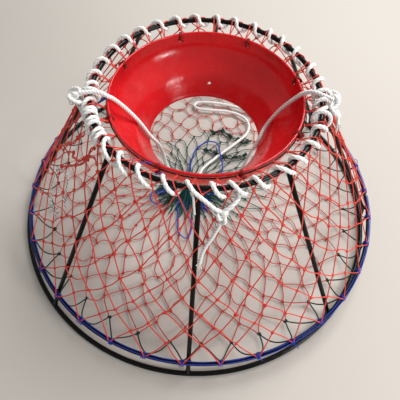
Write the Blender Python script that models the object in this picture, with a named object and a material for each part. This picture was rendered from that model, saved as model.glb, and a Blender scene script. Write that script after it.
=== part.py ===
"""A conical crab pot.

Two steel base rings, a smaller top ring and eight legs make the frame. A red
moulded cone hangs in the top ring as the entrance. Knotted net closes the
side, the bottom and the gap round the cone. Ropes wrap the top ring, lace the
net to the frame, draw the bottom together and lift the pot.

Metres, +Z up. The origin is on the ground, at the centre of the ground ring.
Azimuths are in degrees from +X towards +Y, so the front is at -90.
"""

import math

import bmesh
import bpy
import numpy as np
from mathutils import Matrix, Vector

# Steel frame
GROUND_RING_RADIUS = 0.655
GROUND_ROD = 0.016
NET_RING_RADIUS = 0.638
NET_RING_HEIGHT = 0.088
NET_RING_ROD = 0.013
TOP_RING_RADIUS = 0.324
TOP_RING_HEIGHT = 0.588
TOP_RING_ROD = 0.014
LEG_ROD = 0.014
FRAME_SHIFT = 0.0155
ROD_SIDES = 8
RING_STEPS = 48
TOUCH_GAP = 0.0004
LEG_RING_GAP = 0.0006

# Entrance cone, given by the middle of its wall
MOUTH_RADIUS = 0.277
MOUTH_HEIGHT = 0.576
THROAT_RADIUS = 0.176
THROAT_HEIGHT = 0.404
CONE_WALL = 0.004
RIM_BEAD_RADIUS = 0.004
THROAT_BEAD_RADIUS = 0.003
BEAD_REACH = 0.005
CONE_STEPS = 40
LASHING_HOLE = 0.010
LASHING_DROP = 0.017
LASHING_HALF_WIDTH = 0.0085
LASHING_SLACK = 0.0020
LASHING_POINTS = 10
DRAIN_HOLE = 0.008
DRAIN_HEIGHT = 0.432
DRAIN_AZIMUTHS = (90.0, 210.0, 330.0)

# Nets: twine is drawn as square bars, with larger meshes than the real net
MESH_COLUMNS = 24
NET_BAR = 0.003
NET_STAND_OFF = 0.0105
SIDE_NET_START = 0.020
SIDE_NET_HALF_ROWS = 6
NET_EDGE_CLEARANCE = 0.0150
COLLAR_INNER = (0.2838, 0.578)
COLLAR_OUTER = (0.2922, 0.586)
BOTTOM_ROWS = ((0.6250, 0.0780), (0.545, 0.0085), (0.380, 0.0075), (0.220, 0.0075), (0.072, 0.0085))

# Gather in the middle of the bottom net, where the draw line closes it
GATHER_CENTRE = (-0.030, 0.060)
GATHER_RADIUS = 0.042
GATHER_BOTTOM = 0.006
GATHER_TOP = 0.034
GATHER_PLEATS = 12

# Wound cords
WRAP_ROPE = 0.010
WRAP_LOOPS = 22
WRAP_RADIUS = 0.0132
WRAP_START = -77.0
WRAP_SPAN = 15.0 * WRAP_LOOPS
WRAP_FIRST_TURN = 121.0
WRAP_POINTS_PER_LOOP = 8
LACING_TWINE = 0.004
LACING_LOOPS = 24
LACING_RADIUS = 0.0108
LACING_POINTS_PER_LOOP = 7
LACING_LOOP_SPAN = 5.0
LACING_FIRST = 7.5
LACING_REST_TURN = 62.0
LACING_SLACK = 0.0008

# Free cords and their knots
BRIDLE_ROPE = 0.012
BRIDLE_KNOT_LEFT = 187.5
BRIDLE_KNOT_RIGHT = -7.5
KNOT_LOOP_RADIUS = 0.0238
KNOT_LOOP_ROPE = 0.010
KNOT_LOOP_STEPS = 12
KNOT_OFFSET = 0.038
KNOT_RISE = 0.010
KNOT_HALF_SIZE = (0.019, 0.030, 0.019)
WRAP_KNOT_AZIMUTH = -80.8
WRAP_KNOT_DOWN = 0.066
WRAP_KNOT_HALF_SIZE = (0.009, 0.013, 0.017)
WRAP_KNOT_GAP = 0.001
PURSE_LINE = 0.005
PURSE_ON_NET = 0.0145
LASHING_TWINE = 0.003
TAIL_ROPE = 0.010
ON_NET = 0.0172

# Each leg's azimuth at the top ring and at the net ring: they aren't quite evenly set
LEG_AZIMUTHS = {
    "leg_front": (-90.0, -90.0),
    "leg_front_right": (-48.5, -44.5),
    "leg_right": (-3.5, -3.0),
    "leg_back_right": (42.5, 42.5),
    "leg_back": (87.75, 87.75),
    "leg_back_left": (133.0, 133.0),
    "leg_left": (180.0, 180.0),
    "leg_front_left": (224.5, 224.5),
}

# The lashings sit about half way between the legs
LASHING_AZIMUTHS = (-68.5, -25.0, 19.75, 65.0, 110.5, 156.5, 202.25, 247.25)


def clear_scene():
    """Remove whatever the file already holds."""
    for item in list(bpy.data.objects):
        bpy.data.objects.remove(item, do_unlink=True)


def make_material(name, colour, roughness, metallic=0.0):
    """A plain Principled material."""
    material = bpy.data.materials.new(name)
    material.use_nodes = True
    shader = material.node_tree.nodes["Principled BSDF"]
    shader.inputs["Base Color"].default_value = (*colour, 1.0)
    shader.inputs["Roughness"].default_value = roughness
    shader.inputs["Metallic"].default_value = metallic
    return material


def add_object(name, data, material, location=(0.0, 0.0, 0.0)):
    """Link a mesh or curve to the scene as a named object."""
    data.materials.append(material)
    item = bpy.data.objects.new(name, data)
    item.location = location
    bpy.context.scene.collection.objects.link(item)
    return item


def add_mesh(name, bm, material, location=(0.0, 0.0, 0.0), smooth=True):
    """Turn a bmesh into a named object."""
    mesh = bpy.data.meshes.new(name)
    bm.to_mesh(mesh)
    bm.free()
    if smooth:
        mesh.shade_smooth()
        mesh.set_sharp_from_angle(angle=math.radians(50.0))
    return add_object(name, mesh, material, location)


def add_tube(name, points, diameter, material, resolution=2, closed=False):
    """A round cord or rod along a line of points."""
    curve = bpy.data.curves.new(name, "CURVE")
    curve.dimensions = "3D"
    curve.bevel_depth = diameter / 2.0
    curve.bevel_resolution = resolution
    curve.use_fill_caps = True
    spline = curve.splines.new("POLY")
    spline.points.add(len(points) - 1)
    for spline_point, place in zip(spline.points, points):
        spline_point.co = (*place, 1.0)
    spline.use_cyclic_u = closed
    spline.use_smooth = True
    return add_object(name, curve, material)


def around(radius, azimuth, height, centre=(FRAME_SHIFT, 0.0)):
    """A point at an azimuth round the frame's own axis."""
    turn = math.radians(azimuth)
    return Vector((centre[0] + radius * math.cos(turn), centre[1] + radius * math.sin(turn), height))


def leg_line():
    """The upper leg in the radius and height plane: its bend, its run and its outward normal.

    It starts on the top ring's centreline and just clears the inside of the net ring.
    """
    start = Vector((TOP_RING_RADIUS, TOP_RING_HEIGHT))
    target = Vector((NET_RING_RADIUS, NET_RING_HEIGHT))
    clearance = (LEG_ROD + NET_RING_ROD) / 2.0 + LEG_RING_GAP
    span = (target - start).length
    swing = math.asin(clearance / span)
    steep = math.atan2(target.x - start.x, start.y - target.y) - swing
    along = Vector((math.sin(steep), -math.cos(steep)))
    outward = Vector((math.cos(steep), math.sin(steep)))
    length = math.sqrt(span * span - clearance * clearance)
    return start, along, outward, length


def on_leg_line(distance, offset, azimuth):
    """A point down the side of the pot, offset outwards from the leg's middle."""
    start, along, outward, _ = leg_line()
    place = start + along * distance + outward * offset
    return around(place.x, azimuth, place.y)


def faceted_radius(radius, azimuth):
    """How far out a ring drawn in straight steps is at an azimuth."""
    step = 360.0 / RING_STEPS
    from_middle = azimuth % step - step / 2.0
    return radius * math.cos(math.radians(step / 2.0)) / math.cos(math.radians(from_middle))


def rod_ring(name, radius, height, rod, centre_x, material, flat=False):
    """A round bar bent into a ring. The flat one rests on a facet."""
    corner = rod / 2.0 / (math.cos(math.pi / ROD_SIDES) if flat else 1.0)
    bm = bmesh.new()
    turns = [math.tau * (side + 0.5) / ROD_SIDES for side in range(ROD_SIDES)]
    verts = [bm.verts.new((radius + corner * math.cos(t), 0.0, corner * math.sin(t))) for t in turns]
    edges = [bm.edges.new((verts[side], verts[(side + 1) % ROD_SIDES])) for side in range(ROD_SIDES)]
    bmesh.ops.spin(
        bm,
        geom=verts + edges,
        cent=(0.0, 0.0, 0.0),
        axis=(0.0, 0.0, 1.0),
        angle=math.tau,
        steps=RING_STEPS,
        use_merge=True,
    )
    bmesh.ops.recalc_face_normals(bm, faces=bm.faces)
    return add_mesh(name, bm, material, (centre_x, 0.0, height))


def leg(name, top_azimuth, bend_azimuth, material):
    """One leg: butted under the top ring, bent inside the net ring, down to the ground ring."""
    _, _, _, bend_distance = leg_line()
    top_gap = TOP_RING_ROD / 2.0 + TOUCH_GAP
    top = on_leg_line(top_gap, 0.0, top_azimuth)
    bend = on_leg_line(bend_distance, 0.0, bend_azimuth)
    nearest = math.degrees(math.atan2(bend.y, bend.x))
    ring_radius = faceted_radius(GROUND_RING_RADIUS, nearest)
    ring_centre = around(ring_radius, nearest, GROUND_ROD / 2.0, centre=(0.0, 0.0))
    run = (ring_centre - bend).normalized()
    corner = GROUND_ROD / 2.0 / math.cos(math.pi / ROD_SIDES)
    foot = ring_centre - run * (corner + TOUCH_GAP)
    before_bend = bend + (top - bend).normalized() * LEG_ROD
    after_bend = bend + run * LEG_ROD
    return add_tube(name, [top, before_bend, after_bend, foot], LEG_ROD, material)


def cone_axes():
    """The cone wall in the radius and height plane: throat, mouth, upward run and outward normal."""
    throat = Vector((THROAT_RADIUS, THROAT_HEIGHT))
    mouth = Vector((MOUTH_RADIUS, MOUTH_HEIGHT))
    run = (mouth - throat).normalized()
    return throat, mouth, run, Vector((run.y, -run.x))


def wall_point(azimuth, height, inside):
    """A point beside the cone wall, that far towards its inside."""
    throat, _, run, normal = cone_axes()
    place = throat + run * ((height - THROAT_HEIGHT) / run.y) - normal * inside
    return around(place.x, azimuth, place.y)


def entrance_cone(material):
    """The moulded funnel: a thin wall, a beaded rim and throat, lashing holes and drain holes."""
    throat, mouth, run, normal = cone_axes()
    half = CONE_WALL / 2.0
    profile = [throat + run * BEAD_REACH - normal * half, mouth - run * BEAD_REACH - normal * half]
    for degrees in (180.0, 135.0, 90.0, 45.0, 0.0):
        turn = math.radians(degrees)
        profile.append(mouth + (normal * math.cos(turn) + run * math.sin(turn)) * RIM_BEAD_RADIUS)
    profile += [mouth - run * BEAD_REACH + normal * half, throat + run * BEAD_REACH + normal * half]
    for degrees in (0.0, -90.0, -180.0):
        turn = math.radians(degrees)
        profile.append(throat + (normal * math.cos(turn) + run * math.sin(turn)) * THROAT_BEAD_RADIUS)
    bm = bmesh.new()
    verts = [bm.verts.new((place.x, 0.0, place.y)) for place in profile]
    edges = [bm.edges.new((verts[i], verts[(i + 1) % len(verts)])) for i in range(len(verts))]
    bmesh.ops.spin(
        bm,
        geom=verts + edges,
        cent=(0.0, 0.0, 0.0),
        axis=(0.0, 0.0, 1.0),
        angle=math.tau,
        steps=CONE_STEPS,
        use_merge=True,
    )
    bmesh.ops.recalc_face_normals(bm, faces=bm.faces)
    cone = add_mesh("entrance_cone", bm, material, (FRAME_SHIFT, 0.0, 0.0))
    holes = [(azimuth, MOUTH_HEIGHT - LASHING_DROP, LASHING_HOLE) for azimuth in LASHING_AZIMUTHS]
    holes += [(azimuth, DRAIN_HEIGHT, DRAIN_HOLE) for azimuth in DRAIN_AZIMUTHS]
    for number, (azimuth, height, diameter) in enumerate(holes):
        cutter = hole_cutter(f"cone_hole_{number}", azimuth, height, diameter)
        cut = cone.modifiers.new(cutter.name, "BOOLEAN")
        cut.operation = "DIFFERENCE"
        cut.solver = "EXACT"
        cut.object = cutter
    return cone


def hole_cutter(name, azimuth, height, diameter):
    """A short peg square to the cone wall, which cuts one hole."""
    _, _, _, normal = cone_axes()
    direction = around(normal.x, azimuth, normal.y, centre=(0.0, 0.0))
    bm = bmesh.new()
    bmesh.ops.create_cone(
        bm,
        cap_ends=True,
        segments=8,
        radius1=diameter / 2.0,
        radius2=diameter / 2.0,
        depth=0.03,
    )
    turn = Vector((0.0, 0.0, 1.0)).rotation_difference(direction).to_matrix().to_4x4()
    bmesh.ops.transform(bm, matrix=turn, verts=bm.verts)
    mesh = bpy.data.meshes.new(name)
    bm.to_mesh(mesh)
    bm.free()
    cutter = bpy.data.objects.new(name, mesh)
    cutter.location = wall_point(azimuth, height, 0.0)
    cutter.hide_render = True
    cutter.display_type = "WIRE"
    bpy.context.scene.collection.objects.link(cutter)
    return cutter


def rim_lashing(name, azimuth, material):
    """A loop of twine through a hole in the cone and over its rim."""
    _, mouth, run, normal = cone_axes()
    drop = LASHING_DROP / run.y
    top = RIM_BEAD_RADIUS + LASHING_TWINE / 2.0 + LASHING_SLACK
    centre = mouth - run * ((drop - top) / 2.0)
    half_height = (drop + top) / 2.0
    points = []
    for step in range(LASHING_POINTS):
        turn = math.tau * step / LASHING_POINTS
        place = centre + run * (half_height * math.sin(turn)) + normal * (LASHING_HALF_WIDTH * math.cos(turn))
        points.append(around(place.x, azimuth, place.y))
    return add_tube(name, points, LASHING_TWINE, material, resolution=1, closed=True)


def diamond_net(name, rows, material):
    """A net of diamond meshes. Each row is a ring of knots, half a mesh round from the row before."""
    bm = bmesh.new()
    knots = [[bm.verts.new(place) for place in row] for row in rows]
    count = len(rows[0])
    for index in range(len(rows) - 2):
        shift = index % 2
        for column in range(count):
            upper = knots[index][column]
            left = knots[index + 1][(column - 1 + shift) % count]
            right = knots[index + 1][(column + shift) % count]
            lower = knots[index + 2][column]
            bm.faces.new((upper, left, lower, right))
    bmesh.ops.recalc_face_normals(bm, faces=bm.faces)
    net = add_mesh(name, bm, material, smooth=False)
    wire = net.modifiers.new("twine", "WIREFRAME")
    wire.thickness = NET_BAR
    wire.use_replace = True
    wire.use_boundary = True
    wire.use_even_offset = True
    return net


def knot_azimuth(column, row, first=0.0):
    """Where a knot sits round the pot: odd rows are half a mesh further round."""
    return first + (column + 0.5 * (row % 2)) * 360.0 / MESH_COLUMNS


def side_net(material):
    """The net down the outside of the legs, from below the top ring to the net ring."""
    _, _, _, bend_distance = leg_line()
    end = bend_distance - NET_EDGE_CLEARANCE
    rows = []
    for row in range(SIDE_NET_HALF_ROWS + 1):
        distance = SIDE_NET_START + (end - SIDE_NET_START) * row / SIDE_NET_HALF_ROWS
        rows.append([on_leg_line(distance, NET_STAND_OFF, knot_azimuth(c, row)) for c in range(MESH_COLUMNS)])
    return diamond_net("side_net", rows, material)


def collar_net(material):
    """The short strip of net that zigzags between the cone's rim and the top ring."""
    points = []
    for column in range(MESH_COLUMNS):
        points.append(around(COLLAR_INNER[0], knot_azimuth(column, 0), COLLAR_INNER[1]))
        points.append(around(COLLAR_OUTER[0], knot_azimuth(column, 1), COLLAR_OUTER[1]))
    return add_tube("collar_net", points, NET_BAR, material, resolution=0, closed=True)


def bottom_net(material):
    """The floor of the pot: it drops from the net ring, lies flat and draws in to the gather."""
    outer = BOTTOM_ROWS[0][0]
    half_mesh = 180.0 / MESH_COLUMNS
    rows = []
    for row, (radius, height) in enumerate(BOTTOM_ROWS):
        drawn = (outer - radius) / (outer - BOTTOM_ROWS[-1][0])
        centre = (FRAME_SHIFT + (GATHER_CENTRE[0] - FRAME_SHIFT) * drawn, GATHER_CENTRE[1] * drawn)
        azimuths = [knot_azimuth(c, row, half_mesh) for c in range(MESH_COLUMNS)]
        rows.append([around(radius, azimuth, height, centre) for azimuth in azimuths])
    return diamond_net("bottom_net", rows, material)


def purse_gather(material):
    """The bunched twine in the middle of the bottom net, pleated where the draw line holds it."""
    sides = GATHER_PLEATS * 2
    levels = ((0.78, 0.0), (1.0, 0.25), (0.92, 0.6), (0.6, 0.88))
    height = GATHER_TOP - GATHER_BOTTOM
    bm = bmesh.new()
    rings = []
    for scale, rise in levels:
        ring = []
        for side in range(sides):
            pleat = 1.0 if side % 2 == 0 else 0.86
            place = around(GATHER_RADIUS * scale * pleat, 360.0 * side / sides, 0.0, GATHER_CENTRE)
            ring.append(bm.verts.new((place.x, place.y, GATHER_BOTTOM + height * rise)))
        rings.append(ring)
    for lower, upper in zip(rings, rings[1:]):
        for side in range(sides):
            after = (side + 1) % sides
            bm.faces.new((lower[side], lower[after], upper[after], upper[side]))
    bm.faces.new(list(reversed(rings[0])))
    crown = bm.verts.new((*GATHER_CENTRE, GATHER_TOP))
    for side in range(sides):
        bm.faces.new((rings[-1][side], rings[-1][(side + 1) % sides], crown))
    bmesh.ops.recalc_face_normals(bm, faces=bm.faces)
    return add_mesh("purse_gather", bm, material)


def smooth_line(route, spacing):
    """Points at a regular spacing along a smooth curve through the route's own points."""
    places = [Vector(place) for place in route]
    places = [places[0] * 2.0 - places[1]] + places + [places[-1] * 2.0 - places[-2]]
    dense = []
    steps = 24
    for index in range(1, len(places) - 2):
        a, b, c, d = places[index - 1:index + 3]
        for step in range(steps):
            t = step / steps
            even = 2.0 * b + (2.0 * a - 5.0 * b + 4.0 * c - d) * t * t
            odd = (c - a) * t + (3.0 * b - a - 3.0 * c + d) * t * t * t
            dense.append((even + odd) / 2.0)
    dense.append(places[-2])
    lengths = [0.0]
    for before, after in zip(dense, dense[1:]):
        lengths.append(lengths[-1] + (after - before).length)
    count = max(2, round(lengths[-1] / spacing))
    wanted = np.linspace(0.0, lengths[-1], count + 1)
    columns = [np.interp(wanted, lengths, [place[axis] for place in dense]) for axis in range(3)]
    return [Vector(place) for place in zip(*columns)], lengths[-1]


def self_gap(points, diameter, skip):
    """The least clear space between a winding's loops, leaving out neighbours along the cord."""
    places = np.array([tuple(place) for place in points])
    order = np.arange(len(places))
    apart = np.abs(order[:, None] - order[None, :])
    distance = np.linalg.norm(places[:, None] - places[None, :], axis=2)
    return float(distance[apart > skip].min()) - diameter


def on_ring_section(radius, height, azimuth, offset, turn):
    """A point round a ring's bar: turn 0 is outside it and 90 above it."""
    angle = math.radians(turn)
    return around(radius + offset * math.cos(angle), azimuth, height + offset * math.sin(angle))


def ring_wrap(material):
    """The white rope spiralled round the top ring, with straight ends."""
    count = WRAP_LOOPS * WRAP_POINTS_PER_LOOP
    points = []
    for step in range(count + 1):
        azimuth = WRAP_START + WRAP_SPAN * step / count
        turn = WRAP_FIRST_TURN - 360.0 * step / WRAP_POINTS_PER_LOOP
        points.append(on_ring_section(TOP_RING_RADIUS, TOP_RING_HEIGHT, azimuth, WRAP_RADIUS, turn))
    print("ring_wrap least gap mm", round(1000.0 * self_gap(points, WRAP_ROPE, 5), 2))
    return add_tube("ring_wrap", points, WRAP_ROPE, material, resolution=1)


def net_lacing(material):
    """The blue twine that runs along the net ring and takes a hitch round it at each second mesh."""
    spacing = 360.0 / LACING_LOOPS
    rest = LACING_REST_TURN
    points = []
    for loop in range(LACING_LOOPS):
        middle = LACING_FIRST + spacing * loop
        for step in range(LACING_POINTS_PER_LOOP + 1):
            share = step / LACING_POINTS_PER_LOOP
            azimuth = middle + LACING_LOOP_SPAN * (share - 0.5)
            turn = rest - 360.0 * share
            points.append(on_ring_section(NET_RING_RADIUS, NET_RING_HEIGHT, azimuth, LACING_RADIUS, turn))
        if loop < LACING_LOOPS - 1:
            azimuth = middle + spacing / 2.0
            offset = LACING_RADIUS + LACING_SLACK
            points.append(on_ring_section(NET_RING_RADIUS, NET_RING_HEIGHT, azimuth, offset, rest))
    print("net_lacing least gap mm", round(1000.0 * self_gap(points, LACING_TWINE, 4), 2))
    return add_tube("net_lacing", points, LACING_TWINE, material, resolution=1)


def bridle_knot(name, azimuth, material):
    """A knot of the lifting rope: a loop round the top ring with the knot itself outside it."""
    centre = around(TOP_RING_RADIUS, azimuth, TOP_RING_HEIGHT)
    facing = Matrix.Rotation(math.radians(azimuth), 4, "Z")
    bm = bmesh.new()
    sides = 6
    half_rope = KNOT_LOOP_ROPE / 2.0
    section = []
    for side in range(sides):
        turn = math.tau * side / sides
        across = KNOT_LOOP_RADIUS + half_rope * math.cos(turn)
        section.append(bm.verts.new((across, half_rope * math.sin(turn), 0.0)))
    edges = [bm.edges.new((section[side], section[(side + 1) % sides])) for side in range(sides)]
    bmesh.ops.spin(
        bm,
        geom=section + edges,
        cent=(0.0, 0.0, 0.0),
        axis=(0.0, 1.0, 0.0),
        angle=math.tau,
        steps=KNOT_LOOP_STEPS,
        use_merge=True,
    )
    bmesh.ops.recalc_face_normals(bm, faces=bm.faces)
    bmesh.ops.transform(bm, matrix=facing, verts=bm.verts)
    loop = add_mesh(name, bm, material, centre)

    lump = bmesh.new()
    bmesh.ops.create_uvsphere(lump, u_segments=12, v_segments=8, radius=1.0)
    bmesh.ops.scale(lump, vec=KNOT_HALF_SIZE, verts=lump.verts)
    bmesh.ops.transform(lump, matrix=facing, verts=lump.verts)
    mesh = bpy.data.meshes.new(name + "_body")
    lump.to_mesh(mesh)
    lump.free()
    body = bpy.data.objects.new(name + "_body", mesh)
    body.location = around(TOP_RING_RADIUS + KNOT_OFFSET, azimuth, TOP_RING_HEIGHT + KNOT_RISE)
    body.hide_render = True
    body.display_type = "WIRE"
    bpy.context.scene.collection.objects.link(body)
    join = loop.modifiers.new("knot", "BOOLEAN")
    join.operation = "UNION"
    join.solver = "EXACT"
    join.object = body
    return loop


def bridle_route():
    """The lifting rope's own route, from the left knot to the right one.

    It crosses the top ring, runs down inside the cone, leaves the throat, lies slack
    on the bottom net in one loop to the back and climbs back up the other side.
    """
    over_ring = TOP_RING_HEIGHT + WRAP_RADIUS + (WRAP_ROPE + BRIDLE_ROPE) / 2.0 + 0.0015
    over_rim = MOUTH_HEIGHT + RIM_BEAD_RADIUS + BRIDLE_ROPE / 2.0 + 0.0045
    beside = 0.0116
    return [
        around(0.346, 190.4, over_ring + 0.001),
        around(0.298, 190.0, over_ring - 0.003),
        around(0.274, 189.6, over_rim),
        wall_point(187.8, 0.563, beside),
        wall_point(186.0, 0.515, beside),
        wall_point(186.2, 0.462, beside),
        wall_point(190.5, 0.415, beside),
        (-0.124, -0.034, 0.370),
        (-0.107, -0.018, 0.245),
        (-0.082, 0.025, 0.115),
        (-0.055, 0.052, 0.062),
        (-0.022, 0.072, 0.046),
        (0.003, 0.108, 0.030),
        (0.018, 0.150, ON_NET),
        (0.080, 0.222, ON_NET),
        (0.152, 0.296, ON_NET),
        (0.198, 0.352, ON_NET),
        (0.210, 0.408, ON_NET),
        (0.180, 0.457, ON_NET),
        (0.110, 0.482, ON_NET),
        (0.020, 0.484, ON_NET),
        (-0.030, 0.490, ON_NET),
        (-0.045, 0.509, ON_NET),
        (-0.022, 0.530, ON_NET),
        (0.070, 0.530, ON_NET),
        (0.180, 0.504, ON_NET),
        (0.278, 0.436, ON_NET),
        (0.318, 0.330, ON_NET),
        (0.275, 0.222, ON_NET),
        (0.195, 0.142, 0.019),
        (0.162, 0.085, 0.055),
        (0.156, 0.020, 0.180),
        (0.168, -0.036, 0.365),
        wall_point(-8.0, 0.412, beside),
        wall_point(3.5, 0.444, beside),
        wall_point(7.0, 0.500, beside),
        wall_point(5.0, 0.563, beside),
        around(0.274, 3.6, over_rim),
        around(0.298, 0.5, over_ring - 0.003),
        around(0.346, -4.4, over_ring + 0.001),
    ]


def purse_route():
    """The draw line: it leaves the gather, lies in a loop behind it, crosses the rope and returns."""
    low = PURSE_ON_NET
    return [
        (-0.046, 0.103, 0.022),
        (-0.041, 0.135, 0.017),
        (-0.034, 0.190, low),
        (-0.020, 0.250, low),
        (0.022, 0.292, low),
        (0.062, 0.296, low),
        (0.078, 0.268, 0.019),
        (0.084, 0.226, 0.031),
        (0.096, 0.182, 0.019),
        (0.098, 0.145, low),
        (0.075, 0.108, low),
        (0.042, 0.082, 0.018),
        (0.018, 0.072, 0.022),
    ]


def wrap_tail_route():
    """The spare end of the wrapping rope, hanging over the side net below its knot."""
    hang = NET_STAND_OFF + NET_BAR / 2.0 + TAIL_ROPE / 2.0 + 0.0022
    return [
        on_leg_line(0.088, hang + 0.002, -81.6),
        on_leg_line(0.108, hang, -82.9),
        on_leg_line(0.128, hang, -84.4),
        on_leg_line(0.150, hang, -86.2),
        on_leg_line(0.176, hang, -87.6),
        on_leg_line(0.206, hang, -88.3),
    ]


def wrap_knot(material):
    """The knot that ties the wrapping rope's two ends in front, over the side net."""
    bm = bmesh.new()
    bmesh.ops.create_uvsphere(bm, u_segments=12, v_segments=8, radius=1.0)
    bmesh.ops.scale(bm, vec=WRAP_KNOT_HALF_SIZE, verts=bm.verts)
    _, along, _, _ = leg_line()
    tilt = math.atan2(along.x, -along.y)
    facing = Matrix.Rotation(math.radians(WRAP_KNOT_AZIMUTH), 4, "Z")
    bmesh.ops.transform(bm, matrix=facing @ Matrix.Rotation(-tilt, 4, "Y"), verts=bm.verts)
    stand_off = NET_STAND_OFF + NET_BAR / 2.0 + WRAP_KNOT_HALF_SIZE[0] + WRAP_KNOT_GAP
    return add_mesh("wrap_knot", bm, material, on_leg_line(WRAP_KNOT_DOWN, stand_off, WRAP_KNOT_AZIMUTH))


def build():
    """Make every piece of the pot."""
    clear_scene()
    steel = make_material("black_coated_steel", (0.012, 0.012, 0.013), 0.25, 0.0)
    plastic = make_material("red_moulded_plastic", (0.58, 0.02, 0.02), 0.28)
    red_twine = make_material("red_net_twine", (0.62, 0.06, 0.03), 0.6)
    green_twine = make_material("dark_green_twine", (0.01, 0.07, 0.05), 0.6)
    blue_twine = make_material("blue_lacing_twine", (0.03, 0.05, 0.24), 0.5)
    white_rope = make_material("white_laid_rope", (0.78, 0.78, 0.76), 0.6)

    rod_ring("ground_ring", GROUND_RING_RADIUS, GROUND_ROD / 2.0, GROUND_ROD, 0.0, steel, flat=True)
    rod_ring("net_ring", NET_RING_RADIUS, NET_RING_HEIGHT, NET_RING_ROD, FRAME_SHIFT, steel)
    rod_ring("top_ring", TOP_RING_RADIUS, TOP_RING_HEIGHT, TOP_RING_ROD, FRAME_SHIFT, steel)
    for name, (top_azimuth, bend_azimuth) in LEG_AZIMUTHS.items():
        leg(name, top_azimuth, bend_azimuth, steel)

    entrance_cone(plastic)
    for number, azimuth in enumerate(LASHING_AZIMUTHS, start=1):
        rim_lashing(f"rim_lashing_{number}", azimuth, red_twine)

    side_net(red_twine)
    collar_net(red_twine)
    bottom_net(red_twine)
    purse_gather(green_twine)

    ring_wrap(white_rope)
    wrap_knot(white_rope)
    tail, tail_length = smooth_line(wrap_tail_route(), TAIL_ROPE * 2.0)
    add_tube("wrap_tail", tail, TAIL_ROPE, white_rope)
    net_lacing(blue_twine)

    bridle, bridle_length = smooth_line(bridle_route(), BRIDLE_ROPE * 3.0)
    add_tube("bridle_rope", bridle, BRIDLE_ROPE, white_rope)
    bridle_knot("bridle_knot_left", BRIDLE_KNOT_LEFT, white_rope)
    bridle_knot("bridle_knot_right", BRIDLE_KNOT_RIGHT, white_rope)
    purse, purse_length = smooth_line(purse_route(), PURSE_LINE * 2.4)
    add_tube("purse_line", purse, PURSE_LINE, blue_twine)
    for name, points, length in (
        ("bridle_rope", bridle, bridle_length),
        ("purse_line", purse, purse_length),
        ("wrap_tail", tail, tail_length),
    ):
        print(name, "has", len(points), "points and is", round(length, 3), "m long")


build()
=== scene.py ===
"""The looks of a conical crab pot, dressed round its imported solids.

Metres, +Z up, in the part's own frame, with the ground at z = 0. Azimuths are in degrees
from +X towards +Y round the frame's axis, so the front is at -90. The sizes and the cords'
routes repeat the part's own source.
"""

import random
from itertools import accumulate
from math import asin, atan2, copysign, cos, degrees, dist, pi, radians, sin, sqrt, tanh, tau

import bmesh
import bpy
import numpy as np
from mathutils import Matrix, Vector, noise


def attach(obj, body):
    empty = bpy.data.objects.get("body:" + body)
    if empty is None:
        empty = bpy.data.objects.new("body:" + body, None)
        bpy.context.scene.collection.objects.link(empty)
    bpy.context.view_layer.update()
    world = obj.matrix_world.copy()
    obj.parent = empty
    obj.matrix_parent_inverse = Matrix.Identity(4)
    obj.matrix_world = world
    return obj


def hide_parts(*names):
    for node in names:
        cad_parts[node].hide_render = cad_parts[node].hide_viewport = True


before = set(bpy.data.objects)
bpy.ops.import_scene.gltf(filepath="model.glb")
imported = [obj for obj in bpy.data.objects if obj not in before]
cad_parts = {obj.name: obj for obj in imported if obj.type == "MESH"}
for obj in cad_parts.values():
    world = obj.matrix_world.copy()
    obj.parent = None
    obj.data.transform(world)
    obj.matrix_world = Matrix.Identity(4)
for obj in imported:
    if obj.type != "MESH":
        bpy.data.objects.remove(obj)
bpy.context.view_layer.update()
UP = Vector((0.0, 0.0, 1.0))

# Steel frame
GROUND_RING_RADIUS = 0.655
GROUND_ROD = 0.016
NET_RING_RADIUS = 0.638
NET_RING_HEIGHT = 0.088
NET_RING_ROD = 0.013
TOP_RING_RADIUS = 0.324
TOP_RING_HEIGHT = 0.588
TOP_RING_ROD = 0.014
LEG_ROD = 0.014
LEG_RING_GAP = 0.0006
# The corner of a leg's bend, in rods along the leg before it and after it
LEG_BEND = ((1.4, 0.0), (0.45, 0.25), (0.25, 0.45), (0.0, 1.4))
FRAME_SHIFT = 0.0155
ORIGIN = (0.0, 0.0)
ROD_SIDES = 16
RING_STEPS = 180
LEG_TOP_DOWN = 0.004
FOOT_SINK = 0.002
WELD_BEAD = (0.0078, 0.0095, 0.0052)
TOP_WELD_DOWN = 0.008
FOOT_WELD_RADIUS = GROUND_RING_RADIUS - 0.0065
FOOT_WELD_HEIGHT = GROUND_ROD + 0.0005
# Each leg's azimuth at the top ring and at the net ring: they aren't quite evenly set
LEG_AZIMUTHS = {
    "leg_front": (-90.0, -90.0),
    "leg_front_right": (-48.5, -44.5),
    "leg_right": (-3.5, -3.0),
    "leg_back_right": (42.5, 42.5),
    "leg_back": (87.75, 87.75),
    "leg_back_left": (133.0, 133.0),
    "leg_left": (180.0, 180.0),
    "leg_front_left": (224.5, 224.5),
}

# Entrance cone, given by the middle of its wall
MOUTH_RADIUS = 0.277
MOUTH_HEIGHT = 0.576
THROAT_RADIUS = 0.176
THROAT_HEIGHT = 0.404
CONE_WALL = 0.004
RIM_BEAD_RADIUS = 0.004
THROAT_BEAD_RADIUS = 0.003
BEAD_REACH = 0.005
CONE_STEPS = 144
CONE_ROWS = 24
LASHING_HOLE = 0.009
LASHING_DROP = 0.017
LASHING_HALF_WIDTH = 0.0085
DRAIN_HOLE = 0.0105
DRAIN_HEIGHT = 0.4405
DRAIN_AZIMUTHS = (88.9, 210.0, 330.0)
# The wall stands nearly upright just under the rim, then curves in to the straight funnel
UPRIGHT_DEPTH = 0.022
CURVE_DEPTH = 0.115
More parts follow.
